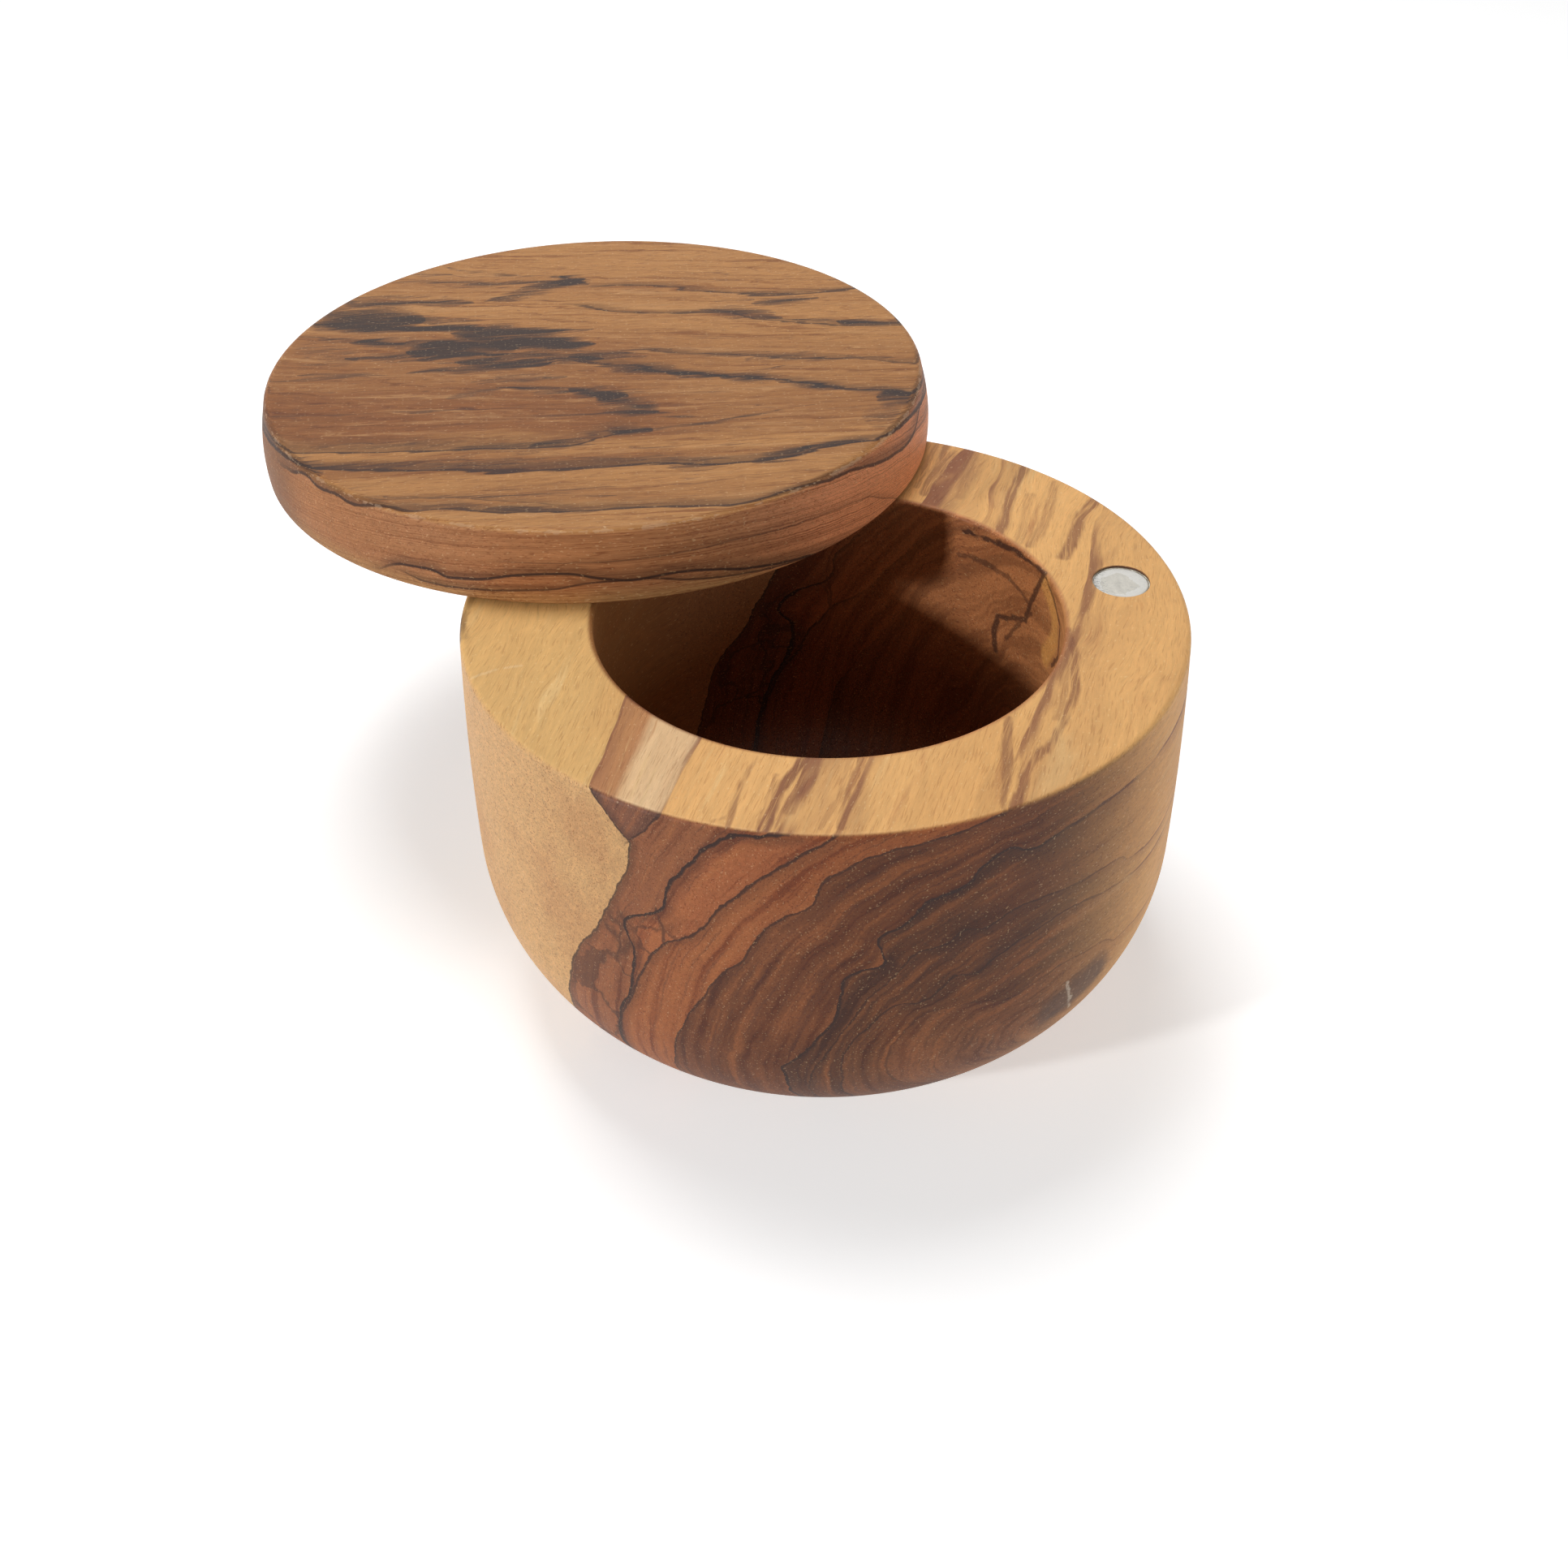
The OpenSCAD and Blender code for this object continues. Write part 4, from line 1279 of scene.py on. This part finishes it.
body = mix(tree, ease(tree, stripe, 0.52, 0.68, 0.0, 0.65), body, LAYER_PALE)
hair_at = combine(tree, times(tree, cross, 2.2), times(tree, u, 0.03), 8.0)
hair = ease(tree, noise(tree, hair_at, 2.0, 0.6), 0.6, 0.7, 0.0, 0.45)
body = mix(tree, hair, body, HAIR_LINE)
upright = add(tree, "VectorMath", {"operation": "ABSOLUTE"})
join(tree, spot.outputs["Normal"], upright.inputs[0])
side = ease(tree, separate(tree, upright.outputs["Vector"])[2], 0.85, 0.3)
low_side = ease(tree, depth, -11.2, -8.0)
side_tone = mix(tree, low_side, SIDE_LOW, SIDE_HIGH)
side_tone = mix(tree, ease(tree, u, 14.0, 36.0, 0.0, 0.9), side_tone, SIDE_RIGHT)
side_tone = mix(tree, ease(tree, u, -44.0, -51.0, 0.0, 0.85), side_tone, SIDE_LEFT)
side_tone = mix(tree, ease(tree, stripe, 0.56, 0.36, 0.0, 0.7), side_tone, SIDE_STRIPE)
body = mix(tree, times(tree, side, 0.85), body, side_tone)
top = minus(tree, 1.0, times(tree, side, 0.95))
body = mix(tree, times(tree, halo, times(tree, top, 0.55)), body, HALO)
body = mix(tree, times(tree, veins, 0.95), body, LAYER_INK)
body = mix(tree, times(tree, smoke, times(tree, top, 0.95)), body, SMOKE_DARK)

# %% Lid wood: worn edge and painted highlight
WORN_AND_HIGHLIGHT_PALE, RUBBED_AND_HIGHLIGHT_PALE = rgb(222, 190, 158), rgb(226, 200, 176)
RUBBED_AND_HIGHLIGHT_LINE = [(3.7, 18.3), (8.0, 24.6), (12.7, 33.6)]
RUBBED_SPOT = [(-10.9, 5.8), (-10.5, 5.9)]
thread_noise = noise(tree, vector_calc(tree, "MULTIPLY", mm, (2.0, 2.0, 2.0)), 2.0)
# a pale ring along the lid's top edge, partly worn wood and partly a painted highlight on the rounded edge
edge_far = ring_distance(tree, mm, LID_AXIS, lid_side(high_z) - 0.4, LID_TOP - 0.4)
wear_and_highlight = use(tree, edge_wear_and_highlight, Place=mm, Distance=edge_far, Width=0.55, Amount=0.22)["Mask"]
body = mix(tree, wear_and_highlight, body, WORN_AND_HIGHLIGHT_PALE)
# a pale stroke on the front right of the top edge, partly rubbed wood and partly a painted highlight, and a
# small pale chip
rubbed_and_highlight = darkest(tree, [
    stroke(tree, mm, [(px, py, LID_TOP - 0.1) for px, py in RUBBED_AND_HIGHLIGHT_LINE], 0.5, 0.5),
    stroke(tree, mm, [(px, py, LID_TOP) for px, py in RUBBED_SPOT], 0.45, 0.8),
])
body = mix(tree, times(tree, rubbed_and_highlight, ease(tree, thread_noise, 0.35, 0.6, 0.2, 1.0)), body, RUBBED_AND_HIGHLIGHT_PALE)

# %% Lid wood: fibres and finish
thread = use(tree, fibres, Place=grainwise)
finish_wood(lid, material, tree, shader, body, thread, 0.6, 0.5, 0.2)

# %% [markdown]
# ## Metal, plastic and glue
#
# The pin, its bush and its washer are right as CAD made them, so they only get better materials. Ground
# steel, drawn brass, moulded plastic, plating and glue all share one effect: fine lines one way and small
# spots of wear, so these come from one group. The glue is milky, and holds a little grime.

# %% Group: fine_lines
group, given, result = new_group(
    "fine_lines",
    {"Place": ("Vector", (0, 0, 0)), "Stretch": ("Vector", (1, 1, 1)), "Spots": ("Float", 1.0)},
    {"Line": "Float", "Spot": "Float"})
tree = group
line_at = vector_calc(tree, "MULTIPLY", given["Place"], given["Stretch"])
spot_size = combine(tree, given["Spots"], given["Spots"], given["Spots"])
spot_at = vector_calc(tree, "MULTIPLY", given["Place"], spot_size)
join(tree, noise(tree, line_at, 3.0, 0.7), result["Line"])
join(tree, ease(tree, noise(tree, spot_at, 3.0, 0.65), 0.55, 0.68), result["Spot"])
fine_lines = group


def lined_material(name, stretch, spots, tone, spot_tone, rough):
    """A material with fine lines and spots; gives the material, its tree, shader, place and colour."""
    made, tree, shader = new_material(name)
    place = in_mm(tree)[1]
    masks = use(tree, fine_lines, Place=place, Stretch=stretch, Spots=spots)
    shade = plus(tree, 0.8, times(tree, masks["Line"], 0.4))
    colour = add(tree, "HueSaturation", Value=shade, Color=tone).outputs["Color"]
    colour = mix(tree, times(tree, masks["Spot"], 0.5), colour, spot_tone)
    lift = times(tree, minus(tree, masks["Line"], 0.5), 0.3)
    join(tree, colour, shader.inputs["Base Color"])
    join(tree, plus(tree, rough, lift), shader.inputs["Roughness"])
    bump = add(tree, "Bump", Strength=0.3, Distance=0.00003, Height=masks["Line"])
    join(tree, bump.outputs["Normal"], shader.inputs["Normal"])
    return made, tree, shader, place, colour


def dress(node, material):
    """Gives a CAD node that stays its own material."""
    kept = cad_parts[node]
    kept.data.materials.clear()
    kept.data.materials.append(material)


# %% Pin, bush and washer
METALS = (("pin_steel", "pivot_pin", (0.6, 0.6, 9.0), 0.9, rgb(196, 198, 202), rgb(150, 150, 152), 0.28),
          ("bush_brass", "pivot_bush", (5.0, 5.0, 0.25), 0.8, rgb(214, 178, 104), rgb(150, 110, 62), 0.34))
for name, node, *look in METALS:
    metal, tree, shader, place, colour = lined_material(name, *look)
    shader.inputs["Metallic"].default_value = 1.0
    dress(node, metal)
plastic = lined_material("washer_plastic", (0.8, 0.8, 0.8), 1.4, rgb(228, 226, 216), rgb(206, 202, 190), 0.5)
dress("pivot_washer", plastic[0])
print("dressed the pin, the bush and the washer")

# %% Magnet plating
plating, tree, shader, place, colour = lined_material(
    "magnet_plating", (1.2, 0.5, 1.2), 2.0, rgb(196, 192, 182), rgb(168, 168, 162), 0.4)
FILM_TONE, DARK_PATCH_TONE = rgb(226, 224, 218), rgb(104, 108, 106)
# a film of glue was wiped over each magnet's face, a little off its middle
LID_MAGNET_AXIS = axis_of("lid_magnet")
rim_film = axis_distance(tree, place, (MAGNET_AXIS[0] - 0.5, MAGNET_AXIS[1] - 0.3))[0]
lid_film = axis_distance(tree, place, (LID_MAGNET_AXIS[0] + 0.4, LID_MAGNET_AXIS[1]))[0]
out = calc(tree, "MINIMUM", rim_film, lid_film)
uneven = noise(tree, vector_calc(tree, "MULTIPLY", place, (0.45, 0.45, 0.45)), 3.0, 0.6)
out = plus(tree, out, times(tree, minus(tree, uneven, 0.5), 2.4))
film = ease(tree, out, 2.55, 2.85, 0.0, 0.8)
colour = mix(tree, film, colour, FILM_TONE)
# dark patches on the plating, heavier towards the left of the rim magnet's middle
left_of = minus(tree, separate(tree, place)[0], MAGNET_AXIS[0])
dark_patches = noise(tree, vector_calc(tree, "MULTIPLY", place, (2.6, 4.4, 2.6)), 4.0, 0.75)
dark_patches = times(tree, ease(tree, dark_patches, 0.5, 0.62), ease(tree, left_of, -1.6, -3.4, 0.12, 0.9))
colour = mix(tree, dark_patches, colour, DARK_PATCH_TONE)
join(tree, colour, shader.inputs["Base Color"])
join(tree, minus(tree, 0.55, times(tree, film, 0.55)), shader.inputs["Metallic"])
for piece in (rim_disc, lid_disc):
    piece.data.materials.append(plating)

# %% Cured glue
glue, tree, shader, place, colour = lined_material(
    "cured_glue", (1.5, 1.5, 1.5), 3.0, rgb(206, 200, 182), rgb(236, 234, 226), 0.3)
GRIME_TONE = rgb(128, 112, 88)
grime = noise(tree, vector_calc(tree, "MULTIPLY", place, (0.8, 0.8, 0.8)), 2.0)
grime = ease(tree, grime, 0.4, 0.6, 0.0, 0.7)
join(tree, mix(tree, grime, colour, GRIME_TONE), shader.inputs["Base Color"])
shader.inputs["Coat Weight"].default_value = 0.3
for piece in (rim_cup, lid_cup):
    piece.data.materials.append(glue)
print("materials", [m.name for m in bpy.data.materials if m.users])
